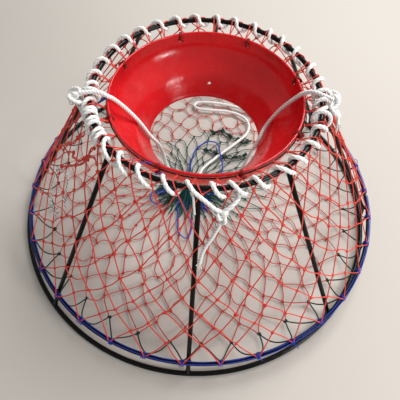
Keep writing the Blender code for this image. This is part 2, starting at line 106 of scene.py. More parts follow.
# The wall in the radius and height plane: its ends, its upward run and its outward normal
THROAT = Vector((THROAT_RADIUS, THROAT_HEIGHT))
MOUTH = Vector((MOUTH_RADIUS, MOUTH_HEIGHT))
CONE_RUN = (MOUTH - THROAT).normalized()
CONE_NORMAL = Vector((CONE_RUN.y, -CONE_RUN.x))

# The lashings sit about half way between the legs
LASHING_AZIMUTHS = (-68.5, -25.0, 19.75, 65.0, 110.5, 156.5, 202.25, 247.25)
LASHING_TWINE = 0.0038
LASHING_KNOT = 0.013
LASHING_ROUNDS = 3
LASHING_STEPS = 48
LASHING_SPREAD = 1.6
LASHING_INSIDE = 0.0046

# Nets
MESH_COLUMNS = 34
MESH_BAR = 0.0765
MESH_SPACING = 360.0 / MESH_COLUMNS
FIRST_HITCH = 3.6
NET_TWINE = 0.0034
SIDE_TWINE = 0.0037
EDGE_TWINE = 0.0046
MEND_TWINE = 0.0046
BOTTOM_BAR = 0.0695
EDGE_BAR = 0.109
EDGE_DROP = 0.017
EDGE_REACH = 0.009
BAR_STEPS = 8
KNOT_SIZE = 0.0088
KNOT_TO_TWINE = 2.6
NET_STAND_OFF = 0.0105
UNDER_HITCH = 0.0070
SIDE_HITCH_TURN = 35.0
BOTTOM_HITCH_TURN = 205.0
SIDE_FIRST_KNOT = 0.014
SIDE_SECOND_KNOT = 0.077
SIDE_HALF_ROWS = 9
SIDE_TWIST = -2.3
SIDE_SAG = 0.007
KNOT_SHAKE = 0.006
KNOT_TURN = 0.95
NET_SLACK = 0.012
BOTTOM_SLACK = 0.010
BOTTOM_RADII = (0.6305, 0.575, 0.525, 0.477, 0.430, 0.382, 0.333, 0.282, 0.215, 0.142, 0.068)
BOTTOM_KNOT_HEIGHT = 0.0062
BOTTOM_EDGE_HEIGHT = 0.020
BOTTOM_SWIRL = 6.0
BOTTOM_RIPPLE = 0.012
GREEN_CENTRE = (0.04, 0.12)
GREEN_RADIUS = 0.235
# Where the collar's bars go over the top ring: the share of the way to the rim and the turn
COLLAR_OVER = ((0.22, -15.0), (0.40, 35.0), (0.60, 80.0), (0.78, 125.0))
COLLAR_OFFSET = 0.0088
RIM_CORD = 0.0038
RIM_CORD_RADIUS = 0.2824
RIM_CORD_DROP = 0.0066

# Mends in the side net at the left: each place is how far down the side and its azimuth
WHITE_MENDS = (
    ((0.259, 198.3), (0.325, 199.1), (0.354, 203.6), (0.365, 206.9), (0.360, 211.5)),
    ((0.259, 198.3), (0.229, 201.6), (0.208, 208.6), (0.234, 210.5), (0.270, 212.2), (0.283, 214.5)),
    ((0.365, 206.9), (0.336, 208.3), (0.340, 210.8), (0.360, 211.5)),
)
RED_MENDS = (
    ((0.290, 191.2), (0.239, 195.1), (0.191, 197.5), (0.155, 200.6), (0.122, 204.9), (0.139, 205.2),
     (0.131, 207.3), (0.113, 211.4), (0.085, 214.0), (0.062, 216.5), (0.052, 219.9), (0.061, 222.3)),
    ((0.220, 201.4), (0.166, 206.9), (0.125, 211.3), (0.101, 214.0), (0.078, 216.0), (0.063, 216.6),
     (0.056, 215.3), (0.039, 215.6), (0.026, 217.2)),
    ((0.227, 190.7), (0.179, 194.6), (0.146, 197.1), (0.103, 202.4), (0.085, 202.9), (0.050, 206.5),
     (0.034, 206.9)),
)

# The gather: each part's fibre, slot, nodes, seed, number of tufts and of ends in each, and its twine
GATHER_CENTRE = (-0.030, 0.060)
GATHER_PARTS = {
    "purse_gather_twine": ("green", "gather_twine", ["purse_gather"], 71, 9, 4, 0.0038),
    "purse_gather_dark": ("dark", "gather_twine", [], 73, 12, 4, 0.0038),
    "purse_gather_blue": ("blue", "lacing_twine", [], 79, 4, 3, 0.0046),
}
# Spare ends on the floor net: long blue bights by the gather and knotted dark ridges behind it
BLUE_LOOPS = (
    ((-0.060, 0.050), (-0.074, -0.020), (-0.069, -0.096), (-0.063, -0.152), (-0.036, -0.180),
     (-0.018, -0.170), (-0.010, -0.122), (-0.024, -0.092), (-0.050, -0.031), (-0.040, 0.040)),
    ((-0.100, 0.050), (-0.155, 0.018), (-0.183, 0.011), (-0.183, -0.022), (-0.160, -0.039),
     (-0.140, -0.030)),
)
BLUE_LOOP_HEIGHT = 0.014
DARK_RIDGES = (
    ((0.050, 0.351), (0.090, 0.366), (0.126, 0.340), (0.185, 0.310), (0.222, 0.322)),
    ((0.019, 0.251), (0.055, 0.243), (0.095, 0.224), (0.134, 0.217), (0.194, 0.238)),
)
RIDGE_HEIGHT = 0.012
RIDGE_KNOT = 0.017
RIDGE_STEP = 0.022
RIDGE_STRANDS = 3

# Ring wrap. Its passes over the ring go from an inner azimuth to an outer one
WRAP_ROPE = 0.010
WRAP_DRAWN = 0.0118
WRAP_RADIUS = 0.0132
WRAP_LAY = 0.026
SPARE_ROPE = WRAP_DRAWN * 0.55
SPARE_LAY = 0.018
WRAP_FIRST_PASSES = (
    (-85.0, -79.0), (-77.0, -70.4), (-66.0, -60.0), (-54.0, -46.0),
    (-44.0, -38.0), (-32.0, -27.0), (-21.0, -17.0), (-10.0, -1.0),
)
WRAP_BACK_TOPS = (13.7, 23.4, 38.0, 48.0, 57.1, 66.4, 77.7, 88.5, 99.8, 111.2, 122.1, 132.8, 144.1, 154.1)
WRAP_LEFT_TOPS = (164.9, 174.8, 182.5, 193.5)
WRAP_LAST_PASSES = (
    (197.9, 199.9), (200.5, 202.5), (204.4, 206.6), (207.2, 209.4), (212.0, 214.2), (215.0, 217.6),
    (218.6, 230.6), (229.5, 239.0), (240.5, 250.7), (253.0, 260.5), (264.0, 272.0),
)
# A pass over the ring and the way back under it: turn round the bar, share of the way, distance out
WRAP_OVER = (
    (180.0, 0.0, 0.0130), (135.0, 0.05, 0.0130), (95.0, 0.12, 0.0132), (55.0, 0.27, 0.0144),
    (15.0, 0.46, 0.0170), (-20.0, 0.72, 0.0204), (-50.0, 1.0, 0.0224),
)
WRAP_UNDER = ((-85.0, 0.22, 0.0195), (-125.0, 0.5, 0.0148), (-155.0, 0.8, 0.0128))
BESIDE_LEG = 2.3
UNDER_KNOT = 4.5
WRAP_KNOT_AZIMUTH = -80.8
WRAP_KNOT_DOWN = 0.066
WRAP_KNOT_HALF_SIZE = (0.0070, 0.0115, 0.0160)

# Net lacing: how far its hitches and its straight strands lie from the net ring's middle
LACING_TWINE = 0.0025
LACING_KNOT = 0.011
LACING_STEPS = 16
LACING_ROUNDS = 2
HITCH_OFFSET = 0.0098
STRAND_OFFSET = 0.0083
STRAND_APART = 56.0
END_OFFSET = 0.0090
# Spare ends: the hitch they leave, the turn round the bar and two steps from there
LACING_ENDS = (
    (1.0, 55.0, (0.0, 0.016, 0.010), (-0.006, 0.030, 0.004)),
    (-6.0, 60.0, (0.006, -0.010, 0.010), (0.018, -0.016, 0.002)),
    (-7.0, 80.0, (0.004, -0.008, 0.012), (0.012, -0.014, 0.003)),
)
# Spare ends tied between the top ring and the rim: azimuth, radius and height
COLLAR_ENDS = (
    ((239.8, 0.309, 0.583), (241.0, 0.302, 0.594), (243.0, 0.292, 0.592), (244.6, 0.284, 0.582)),
    ((249.0, 0.308, 0.578), (250.5, 0.300, 0.583), (252.0, 0.294, 0.574)),
    ((236.5, 0.311, 0.582), (235.4, 0.303, 0.586), (234.8, 0.295, 0.578)),
)

# Free cords, drawn a little full, and the lifting rope's knots
BRIDLE_ROPE = 0.012
PURSE_LINE = 0.005
TAIL_ROPE = 0.010
KNOT_ROPE = 0.0115
ROPE_LAY = 0.027
ROPE_YARN = 0.0028
PLUMP = 1.07
BESIDE_WALL = 0.0116
ON_NET = 0.0172
PURSE_ON_NET = 0.0145
COIL_OFFSET = 0.0240
COIL_STEPS = 48
BRIDLE_KNOT_AZIMUTHS = (187.5, -7.5)
# Each knot's coils, its middle (azimuth, outside and above the ring), its half sizes and its free end
KNOT_SHAPES = {
    "bridle_knot_left": (
        (186.4, 188.8),
        (189.8, 0.037, 0.008),
        (0.014, 0.026, 0.015),
        ((191.0, 0.036, -0.010), (193.0, 0.028, -0.022), (195.0, 0.024, -0.032)),
    ),
    "bridle_knot_right": (
        (1.4, -5.0, -13.5),
        (-3.5, 0.030, 0.004),
        (0.012, 0.046, 0.014),
        ((-5.0, 0.034, -0.006), (-8.5, 0.046, -0.012), (-11.0, 0.050, -0.020)),
    ),
}
# A curve's points hold at most about this many turns either way
TILT_TURNS = 59.0
# Steps of a smooth curve between two of its route's points, and how far apart a drawn cord's points are
CURVE_STEPS = 24
LASHING_STEP = 0.0022
ROPE_STEP = 0.0028
END_STEP = 0.004
LACING_STEP = 0.004
MEND_STEP = 0.005
TWINE_STEP = 0.006
GATHER_STEP = 0.007

# Fibres: name, light and dark tone (the dark one is painted shade in the grooves), strands, turns in a
# metre, roughness and depth of the grooves
FIBRES = {
    # Drawn polyethylene shines a little, and its twist shows as fine slanting stripes of two tones: light on
    # each strand's crown and darker where strands meet, which is painted shade
    "red": ("red twisted polyethylene twine", "FB5C4A", "AE2824", 3, 100.0, 0.5, 0.0005),
    # A darker copy of the red, for the floor net: painted shade, as that net lies in the pot's shadow
    "shaded_red": ("shaded red twisted twine", "E04A3A", "9A2820", 3, 100.0, 0.55, 0.0005),
    "dark_red": ("dark red twisted twine", "A82420", "5A100E", 3, 100.0, 0.5, 0.0005),
    "green": ("dark green twisted twine", "1D6C5F", "061715", 3, 100.0, 0.5, 0.0005),
    "blue": ("blue twisted twine", "2450D4", "0A1C6C", 3, 90.0, 0.45, 0.0006),
    # Nearly black cords whose twist hardly shows: the weathered dark twine, and the rim cord, whose
    # near-black is partly its own colour and partly painted shade under the rim bead
    "rim_black": ("red-black rim cord with painted shade", "34100F", "0A0404", 3, 60.0, 0.5, 0.0004),
    "dark": ("weathered dark twine", "16423A", "040B0A", 3, 100.0, 0.5, 0.0005),
    # Two plies of a slow twist show as dashes: each ply white on its crown and dark grey where they meet,
    # partly the twine's own grey and partly painted shade in the grooves
    "grey": ("grey and white mending twine", "FFFFFD", "6E6A69", 2, 38.0, 0.55, 0.0004),
    # Laid rope is matt and evenly white: only the grooves between its strands are darker, and that is
    # painted shade
    "white": ("white three-strand rope", "FFFFFD", "D6D4CF", 3, 0.0, 0.6, 0.0006),
    "soft_white": ("soft white cord", "FFFFFD", "DEDCD7", 3, 0.0, 0.6, 0.0006),
}
# The colour mix node's numbered inputs and output
MIX_FACTOR, MIX_A, MIX_B, MIX_RESULT = 0, 6, 7, 2

# The photograph's view, found by fitting its rings
CAMERA_PLACE = (0.0265, -0.845, 1.3905)
CAMERA_TURN = (-0.877, 58.672, 3.226)
LENS = 36.0
SENSOR = 36.0
ROOM_STRENGTH = 0.44
FLOOR_HALF_SIZE = 6.0
# Lamps: place, size and watts
LAMPS = {"key": ((1.5, 1.9, 3.4), 2.2, 165.0), "fill": ((2.7, -1.9, 1.7), 0.9, 62.0)}


# Points round the pot


def around(radius, azimuth, height, centre=(FRAME_SHIFT, 0.0)):
    """A point at an azimuth round the frame's own axis."""
    turn = radians(azimuth)
    return Vector((centre[0] + radius * cos(turn), centre[1] + radius * sin(turn), height))


def facing(slope, azimuth):
    """A direction in the radius and height plane, turned to an azimuth."""
    return around(slope.x, azimuth, slope.y, ORIGIN)


def level(angle, reach, height=0.0):
    """A step over the ground at an angle in radians."""
    return Vector((reach * cos(angle), reach * sin(angle), height))


def leg_line():
    """The upper leg in the radius and height plane: start, run, outward normal and length."""
    start = Vector((TOP_RING_RADIUS, TOP_RING_HEIGHT))
    target = Vector((NET_RING_RADIUS, NET_RING_HEIGHT))
    clearance = (LEG_ROD + NET_RING_ROD) / 2.0 + LEG_RING_GAP
    span = (target - start).length
    swing = asin(clearance / span)
    steep = atan2(target.x - start.x, start.y - target.y) - swing
    along = Vector((sin(steep), -cos(steep)))
    outward = Vector((cos(steep), sin(steep)))
    return start, along, outward, sqrt(span * span - clearance * clearance)


LEG_TOP, LEG_RUN, LEG_OUTWARD, LEG_LENGTH = leg_line()


def on_side(distance, offset, azimuth):
    """A point down the side of the pot, offset outwards from the leg's middle."""
    place = LEG_TOP + LEG_RUN * distance + LEG_OUTWARD * offset
    return around(place.x, azimuth, place.y)


def on_ring(radius, height, azimuth, offset, turn):
    """A point round a ring's bar: turn 0 is outside it and 90 above it."""
    angle = radians(turn)
    return around(radius + offset * cos(angle), azimuth, height + offset * sin(angle))


def on_top_ring(azimuth, offset, turn):
    """A point round the top ring's bar."""
    return on_ring(TOP_RING_RADIUS, TOP_RING_HEIGHT, azimuth, offset, turn)


def on_net_ring(azimuth, offset, turn):
    """A point round the net ring's bar."""
    return on_ring(NET_RING_RADIUS, NET_RING_HEIGHT, azimuth, offset, turn)


def bulged(place):
    """A place in the radius and height plane, moved out as the drawn wall stands by the rim."""
    down = max(0.0, MOUTH_HEIGHT - place.y)
    share = min(1.0, max(0.0, (down - UPRIGHT_DEPTH) / (CURVE_DEPTH - UPRIGHT_DEPTH)))
    upright = (MOUTH.x - THROAT.x) / (MOUTH.y - THROAT.y)
    return Vector((place.x + down * upright * (1.0 - share * share * (3.0 - 2.0 * share)), place.y))


def wall_point(azimuth, height, inside=BESIDE_WALL):
    """A point beside the cone wall, that far towards its inside: where the lifting rope lies on it."""
    place = THROAT + CONE_RUN * ((height - THROAT_HEIGHT) / CONE_RUN.y) - CONE_NORMAL * inside
    return around(place.x, azimuth, place.y)


def smooth_line(route, spacing):
    """Points at a regular spacing along a smooth curve through the route's own points."""
    places = [Vector(place) for place in route]
    places = [places[0] * 2.0 - places[1], *places, places[-1] * 2.0 - places[-2]]
    dense = []
    for a, b, c, d in zip(places, places[1:], places[2:], places[3:]):
        for step in range(CURVE_STEPS):
            t = step / CURVE_STEPS
            even = 2.0 * b + (2.0 * a - 5.0 * b + 4.0 * c - d) * t * t
            odd = (c - a) * t + (3.0 * b - a - 3.0 * c + d) * t * t * t
            dense.append((even + odd) / 2.0)
    dense.append(places[-2])
    lengths = [0.0, *accumulate((after - before).length for before, after in zip(dense, dense[1:]))]
    count = max(2, round(lengths[-1] / spacing))
    wanted = np.linspace(0.0, lengths[-1], count + 1)
    columns = [np.interp(wanted, lengths, [place[axis] for place in dense]) for axis in range(3)]
    return [Vector(place) for place in zip(*columns)]


def line_length(points, closed=False):
    """The length of a line of points."""
    following = points[1:] + points[:1] if closed else points[1:]
    return sum((after - before).length for before, after in zip(points, following))


# Materials


def srgb(code):
    """A linear colour from an sRGB hex value."""
    values = [int(code[start:start + 2], 16) / 255.0 for start in (0, 2, 4)]
    linear = [value / 12.92 if value <= 0.04045 else ((value + 0.055) / 1.055) ** 2.4 for value in values]
    return (*linear, 1.0)


def link_inputs(material, node, links):
    """Link a node's inputs, each from another node's output."""
    for name, (source, output) in links.items():
        material.node_tree.links.new(source.outputs[output], node.inputs[name])


def add_node(material, kind, values=None, links=None, **settings):
    """Add a shader node with its settings, its input values and its incoming links."""
    node = material.node_tree.nodes.new("ShaderNode" + kind)
    for name, value in settings.items():
        setattr(node, name, value)
    for name, value in (values or {}).items():
        node.inputs[name].default_value = value
    link_inputs(material, node, links or {})
    return node


def new_material(name, colour, roughness, specular):
    """A Principled material and its shader."""
    material = bpy.data.materials.new(name)
    material.use_nodes = True
    shader = material.node_tree.nodes["Principled BSDF"]
    shader.inputs["Base Color"].default_value = srgb(colour)
    shader.inputs["Roughness"].default_value = roughness
    shader.inputs["Specular IOR Level"].default_value = specular
    return material, shader


def painted_steel():
    """Mild steel rod dipped in black gloss paint.

    Soft runs 11 mm apart in the film break up its highlights, and dust in 70 mm patches dulls it.
    """
    material, shader = new_material("black gloss painted steel", "050506", 0.15, 0.18)
    place = {"Vector": (add_node(material, "TexCoord"), "Object")}
    runs = add_node(material, "TexNoise", {"Scale": 90.0, "Detail": 3.0, "Roughness": 0.55}, place)
    dust = add_node(material, "TexNoise", {"Scale": 14.0, "Detail": 6.0, "Roughness": 0.7}, place)
    by_dust = {"Value": (dust, "Fac")}
    spread = {"From Min": 0.55, "From Max": 0.80, "To Min": 0.0, "To Max": 0.16}
    worn = add_node(material, "MapRange", spread, by_dust)
    tones = {MIX_A: srgb("050506"), MIX_B: srgb("2A2826")}
    colour = add_node(material, "Mix", tones, {MIX_FACTOR: (worn, 0)}, data_type="RGBA")
    spread = {"From Min": 0.3, "From Max": 0.8, "To Min": 0.12, "To Max": 0.34}
    rough = add_node(material, "MapRange", spread, by_dust)
    bump = add_node(material, "Bump", {"Strength": 0.35, "Distance": 0.0006}, {"Height": (runs, "Fac")})
    surface = {"Base Color": (colour, MIX_RESULT), "Roughness": (rough, 0), "Normal": (bump, 0)}
    link_inputs(material, shader, surface)
    return material


def moulded_plastic(name, deep, bright):
    """Injection-moulded red polyethylene: glossy and translucent.

    Its skin has 2 mm grain on ripples of 40 mm, so the sheen is uneven, and light inside it clouds
    the red in patches of 140 mm.
    """
    material, shader = new_material(name, bright, 0.3, 0.35)
    shader.inputs["Subsurface Weight"].default_value = 0.5
    shader.inputs["Subsurface Radius"].default_value = (0.020, 0.006, 0.004)
    shader.inputs["Subsurface Scale"].default_value = 1.0
    place = {"Vector": (add_node(material, "TexCoord"), "Object")}
    ripple = add_node(material, "TexNoise", {"Scale": 26.0, "Detail": 3.0, "Roughness": 0.5}, place)
    skin = add_node(material, "TexNoise", {"Scale": 420.0, "Detail": 2.0, "Roughness": 0.5}, place)
    cloud = add_node(material, "TexNoise", {"Scale": 7.0, "Detail": 4.0, "Roughness": 0.6}, place)
    spread = {"From Min": 0.3, "From Max": 0.7, "To Min": 0.0, "To Max": 1.0}
    tone = add_node(material, "MapRange", spread, {"Value": (cloud, "Fac")})
    tones = {MIX_A: srgb(deep), MIX_B: srgb(bright)}
    colour = add_node(material, "Mix", tones, {MIX_FACTOR: (tone, 0)}, data_type="RGBA")
    spread = {"From Min": 0.35, "From Max": 0.7, "To Min": 0.14, "To Max": 0.34}
    rough = add_node(material, "MapRange", spread, {"Value": (ripple, "Fac")})
    fine = add_node(material, "Bump", {"Strength": 0.12, "Distance": 0.0002}, {"Height": (skin, "Fac")})
    heights = {"Height": (ripple, "Fac"), "Normal": (fine, 0)}
    bump = add_node(material, "Bump", {"Strength": 0.45, "Distance": 0.003}, heights)
    surface = {"Base Color": (colour, MIX_RESULT), "Roughness": (rough, 0), "Normal": (bump, 0)}
    link_inputs(material, shader, surface)
    return material


def laid_fibre(name, light, dark, strands, turns, roughness, depth):
    """Twisted fibre: strands run slantwise round the cord, painted darker where they meet: painted shade in
    the grooves.

    The cord's UV map gives metres along it and the share of a turn round it. turns is how
    often a strand goes round in a metre, beyond the twist that the cord's own shape has.
    """
    material, shader = new_material(name, light, roughness, 0.25)
    place = add_node(material, "TexCoord")
    parts = add_node(material, "SeparateXYZ", None, {"Vector": (place, "UV")})
    along = {0: (parts, "X")}
    slant = add_node(material, "Math", {1: strands * turns, 2: 0.5}, along, operation="MULTIPLY_ADD")
    both = {0: (parts, "Y"), 2: (slant, 0)}
    phase = add_node(material, "Math", {1: float(strands)}, both, operation="MULTIPLY_ADD")
    crown = {"Value": (add_node(material, "Math", {1: 0.5}, {0: (phase, 0)}, operation="PINGPONG"), 0)}
    spread = {"From Min": 0.0, "From Max": 0.5, "To Min": 0.0, "To Max": 1.0}
    height = add_node(material, "MapRange", spread, crown, interpolation_type="SMOOTHSTEP")
    patches = {"Scale": 35.0, "Detail": 5.0, "Roughness": 0.65}
    soil = add_node(material, "TexNoise", patches, {"Vector": (place, "Object")})
    spread = {"From Min": 0.45, "From Max": 0.85, "To Min": 1.0, "To Max": 0.80}
    grime = add_node(material, "MapRange", spread, {"Value": (soil, "Fac")})
    # Light on each strand's crown, dark where strands meet as painted shade, and a little darker in patches
    # of soil
    shade_and_soil = add_node(material, "Math", None, {0: (height, 0), 1: (grime, 0)}, operation="MULTIPLY")
    tones = {MIX_A: srgb(dark), MIX_B: srgb(light)}
    colour = add_node(material, "Mix", tones, {MIX_FACTOR: (shade_and_soil, 0)}, data_type="RGBA")
    bump = add_node(material, "Bump", {"Strength": 0.8, "Distance": depth}, {"Height": (height, 0)})
    link_inputs(material, shader, {"Base Color": (colour, MIX_RESULT), "Normal": (bump, 0)})
    return material


# Pieces


def add_object(name, data):
    """A new object in the scene."""
    made = bpy.data.objects.new(name, data)
    bpy.context.scene.collection.objects.link(made)
    return made


def as_mesh(name, bm):
    """A bmesh turned to a mesh."""
    mesh = bpy.data.meshes.new(name)
    bm.to_mesh(mesh)
    bm.free()
    return mesh


def add_piece(name, bm, material, slot, *nodes, sharp=45.0):
    """Turn a bmesh into a piece that rides on the pot and stands for the nodes."""
    mesh = as_mesh(name, bm)
    mesh.shade_smooth()
    mesh.set_sharp_from_angle(angle=radians(sharp))
    mesh.materials.append(material)
    piece = add_object(name, mesh)
    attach(piece, "root")
    if nodes:
        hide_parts(*nodes)
    return piece


def rope_section(diameter):
    """A laid rope's outline: three strands pressed together."""
    strand = 0.76
    reach = 0.26
    outline = bpy.data.curves.new("rope section", "CURVE")
    outline.dimensions = "2D"
    spline = outline.splines.new("POLY")
    corners = 12
    spline.points.add(corners - 1)
    for corner, point in enumerate(spline.points):
        from_crown = radians((corner * 30.0 + 60.0) % 120.0 - 60.0)
        side = reach * sin(from_crown)
        radius = reach * cos(from_crown) + sqrt(strand * strand - side * side)
        point.co = (*level(tau * corner / corners, radius * diameter / 2.0), 1.0)
    spline.use_cyclic_u = True
    return add_object("rope section", outline)


def cord_curve(diameter, fine, capped):
    """An empty curve that draws round cords."""
    curve = bpy.data.curves.new("cord", "CURVE")
    curve.dimensions = "3D"
    curve.twist_mode = "MINIMUM"
    curve.use_fill_caps = capped
    curve.bevel_depth = diameter / 2.0
    curve.bevel_resolution = fine
    return curve


def add_line(curve, points, closed=False, lay=None):
    """Add a line of points to a curve, turned once round in each lay.

    A curve holds at most TILT_TURNS turns either way, so a long line is turned a little less.
    """
    spline = curve.splines.new("POLY")
    spline.points.add(len(points) - 1)
    half = line_length(points) / 2.0
    if lay:
        lay = max(lay, half / TILT_TURNS)
    along = 0.0
    for index, (spline_point, place) in enumerate(zip(spline.points, points)):
        if index:
            along += (place - points[index - 1]).length
        spline_point.co = (*place, 1.0)
        if lay:
            spline_point.tilt = tau * (along - half) / lay
    spline.use_cyclic_u = closed
    spline.use_smooth = True


def take_mesh(bm, curve, lengths):
    """Turn a curve into faces, with metres along each line and the share of a turn round it as their UV."""
    holder = add_object("cord", curve)
    graph = bpy.context.evaluated_depsgraph_get()
    mesh = bpy.data.meshes.new_from_object(holder.evaluated_get(graph))
    corners = mesh.uv_layers["UVMap"].data
    uv = np.zeros(len(corners) * 2)
    corners.foreach_get("uv", uv)
    uv[0::2] *= np.repeat(lengths, len(corners) // len(lengths))
    corners.foreach_set("uv", uv)
    bm.from_mesh(mesh)
    bpy.data.meshes.remove(mesh)
    bpy.data.objects.remove(holder)
    bpy.data.curves.remove(curve)


def sweep(bm, points, diameter, closed=False, fine=1, lay=None):
    """Add a cord along a line of points. With a lay, which is one twist's length, it is a rope."""
    curve = cord_curve(diameter, fine, not closed)
    section = None
    if lay:
        section = rope_section(diameter)
        curve.bevel_mode = "OBJECT"
        curve.bevel_object = section
    add_line(curve, points, closed, lay)
    take_mesh(bm, curve, [line_length(points, closed)])
    if section:
        outline = section.data
        bpy.data.objects.remove(section)
        bpy.data.curves.remove(outline)


def smooth_cord(bm, route, spacing, diameter, **looks):
    """Add a cord along the smooth curve through a route's points."""
    sweep(bm, smooth_line(route, spacing), diameter, **looks)


def sweep_many(bm, lines, diameter):
    """Add many plain cords, each with the same number of points."""
    curve = cord_curve(diameter, 1, False)
    for points in lines:
        add_line(curve, points)
    take_mesh(bm, curve, [line_length(points) for points in lines])


def spun(outline, steps):
    """A bmesh of an outline in the radius and height plane, spun once round the frame's axis."""
    bm = bmesh.new()
    verts = [bm.verts.new((place[0], 0.0, place[1])) for place in outline]
    edges = [bm.edges.new((verts[i], verts[(i + 1) % len(verts)])) for i in range(len(verts))]
    geom = verts + edges
    bmesh.ops.spin(bm, geom=geom, cent=(0.0, 0.0, 0.0), axis=UP, angle=tau, steps=steps, use_merge=True)
    bmesh.ops.recalc_face_normals(bm, faces=bm.faces)
    return bm


def rod_ring(node, radius, height, rod, centre_x, material):
    """A round bar bent into a ring."""
    turns = [tau * side / ROD_SIDES for side in range(ROD_SIDES)]
    outline = [(radius + rod / 2.0 * cos(t), height + rod / 2.0 * sin(t)) for t in turns]
    bm = spun(outline, RING_STEPS)
    bmesh.ops.translate(bm, vec=(centre_x, 0.0, 0.0), verts=bm.verts)
    add_piece(f"{node}_rod", bm, material, "frame_steel", node)


def leg(name, top_azimuth, bend_azimuth, material):
    """One leg: from the top ring, bent inside the net ring, down to the ground ring."""
    top = on_side(LEG_TOP_DOWN, 0.0, top_azimuth)
    bend = on_side(LEG_LENGTH, 0.0, bend_azimuth)
    ring_centre = around(GROUND_RING_RADIUS, degrees(atan2(bend.y, bend.x)), GROUND_ROD / 2.0, ORIGIN)
    run = (ring_centre - bend).normalized()
    foot = ring_centre - run * (GROUND_ROD / 2.0 - FOOT_SINK)
    upper = (top - bend).normalized()
    corner = [bend + (upper * before + run * after) * LEG_ROD for before, after in LEG_BEND]
    bm = bmesh.new()
    sweep(bm, [top, *corner, foot], LEG_ROD, fine=6)
    add_piece(f"{name}_rod", bm, material, "frame_steel", name)


def weld_beads(material):
    """Fillets of weld at each leg's top, at the net ring and at its foot."""
    rng = random.Random(5)
    bm = bmesh.new()
    for top_azimuth, azimuth in LEG_AZIMUTHS.values():
        bend = on_side(LEG_LENGTH, 0.0, azimuth)
        foot = around(FOOT_WELD_RADIUS, degrees(atan2(bend.y, bend.x)), FOOT_WELD_HEIGHT, ORIGIN)
        ring = around(NET_RING_RADIUS, azimuth, NET_RING_HEIGHT)
        turn = Matrix.Rotation(radians(azimuth), 3, "Z")
        for place in (on_side(TOP_WELD_DOWN, 0.0, top_azimuth), (bend + ring) / 2.0, foot):
            verts = bmesh.ops.create_icosphere(bm, subdivisions=2, radius=1.0)["verts"]
            for vert in verts:
                vert.co *= 1.0 + 0.18 * noise.noise(vert.co * 2.3 + Vector((azimuth, place.z * 40.0, 0.0)))
            bmesh.ops.scale(bm, vec=Vector(WELD_BEAD) * rng.uniform(0.9, 1.05), verts=verts)
            bmesh.ops.rotate(bm, cent=(0.0, 0.0, 0.0), matrix=turn, verts=verts)
            bmesh.ops.translate(bm, vec=place, verts=verts)
    add_piece("weld_beads", bm, material, "frame_steel")


def bead(centre, radius, turns):
    """Points round a bead of the cone: turn 0 is outside it and 90 towards the mouth."""
    angles = [radians(turn) for turn in turns]
    return [centre + (CONE_NORMAL * cos(angle) + CONE_RUN * sin(angle)) * radius for angle in angles]


def entrance_cone(inside, outside):
    """The moulded funnel with its beaded rim and throat, lashing holes and drain holes."""
    inner_top = MOUTH - CONE_RUN * BEAD_REACH - CONE_NORMAL * CONE_WALL / 2.0
    inner_foot = THROAT + CONE_RUN * BEAD_REACH - CONE_NORMAL * CONE_WALL / 2.0
    outer_top = inner_top + CONE_NORMAL * CONE_WALL
    outer_foot = inner_foot + CONE_NORMAL * CONE_WALL
    shares = [row / CONE_ROWS for row in range(CONE_ROWS + 1)]
    outline = [bulged(inner_foot.lerp(inner_top, share)) for share in shares]
    outline += bead(MOUTH, RIM_BEAD_RADIUS, range(180, -1, -20))
    outline += [bulged(outer_top.lerp(outer_foot, share)) for share in shares]
    outline += bead(THROAT, THROAT_BEAD_RADIUS, range(0, -181, -30))
    bm = spun(outline, CONE_STEPS)
    bmesh.ops.translate(bm, vec=(FRAME_SHIFT, 0.0, 0.0), verts=bm.verts)
    cone = add_piece("entrance_cone_moulding", bm, inside, "entrance_cone", "entrance_cone", sharp=60.0)
    holes = [(azimuth, MOUTH_HEIGHT - LASHING_DROP, LASHING_HOLE) for azimuth in LASHING_AZIMUTHS]
    holes += [(azimuth, DRAIN_HEIGHT, DRAIN_HOLE) for azimuth in DRAIN_AZIMUTHS]
    cutters = bmesh.new()
    for azimuth, height, diameter in holes:
        radii = {"radius1": diameter / 2.0, "radius2": diameter / 2.0}
        made = bmesh.ops.create_cone(cutters, cap_ends=True, segments=20, depth=0.03, **radii)
        turn = UP.rotation_difference(facing(CONE_NORMAL, azimuth)).to_matrix().to_4x4()
        place = Matrix.Translation(wall_point(azimuth, height, 0.0))
        bmesh.ops.transform(cutters, matrix=place @ turn, verts=made["verts"])
    apply_cut(cone, cutters)
    cone.data.materials.append(outside)
    # Outward faces below the rim take the pale plastic: a painted glow of light through the wall
    for face in cone.data.polygons:
        below_rim = MOUTH_HEIGHT - face.center.z > RIM_BEAD_RADIUS
        outward = face.normal.x * (face.center.x - FRAME_SHIFT) + face.normal.y * face.center.y > 0.0
        face.material_index = int(below_rim and outward)


def apply_cut(piece, cutters):
    """Cut the cutters' shapes out of a piece for good."""
    mesh = as_mesh("cutters", cutters)
    tool = add_object("cutters", mesh)
    cut = piece.modifiers.new("holes", "BOOLEAN")
    cut.operation = "DIFFERENCE"
    cut.solver = "EXACT"
    cut.object = tool
    graph = bpy.context.evaluated_depsgraph_get()
    done = bpy.data.meshes.new_from_object(piece.evaluated_get(graph))
    piece.modifiers.clear()
    old = piece.data
    piece.data = done
    done.name = old.name
    bpy.data.meshes.remove(old)
    bpy.data.objects.remove(tool)
    bpy.data.meshes.remove(mesh)


# Nets


def knot_mesh(size):
    """One netting knot: a cord bent through two small crossed loops, a few dozen faces."""
    points = []
    count = 10
    for step in range(count):
        turn = tau * step / count
        lift = cos(turn) * (1.0 if step % 2 else 0.6)
        shape = Vector((0.42 * sin(turn), 0.30 * sin(2.0 * turn), 0.26 * lift))
        points.append(shape * size)
    bm = bmesh.new()
    sweep(bm, points, size * 0.52, closed=True, fine=0)
    return as_mesh("net knot", bm)


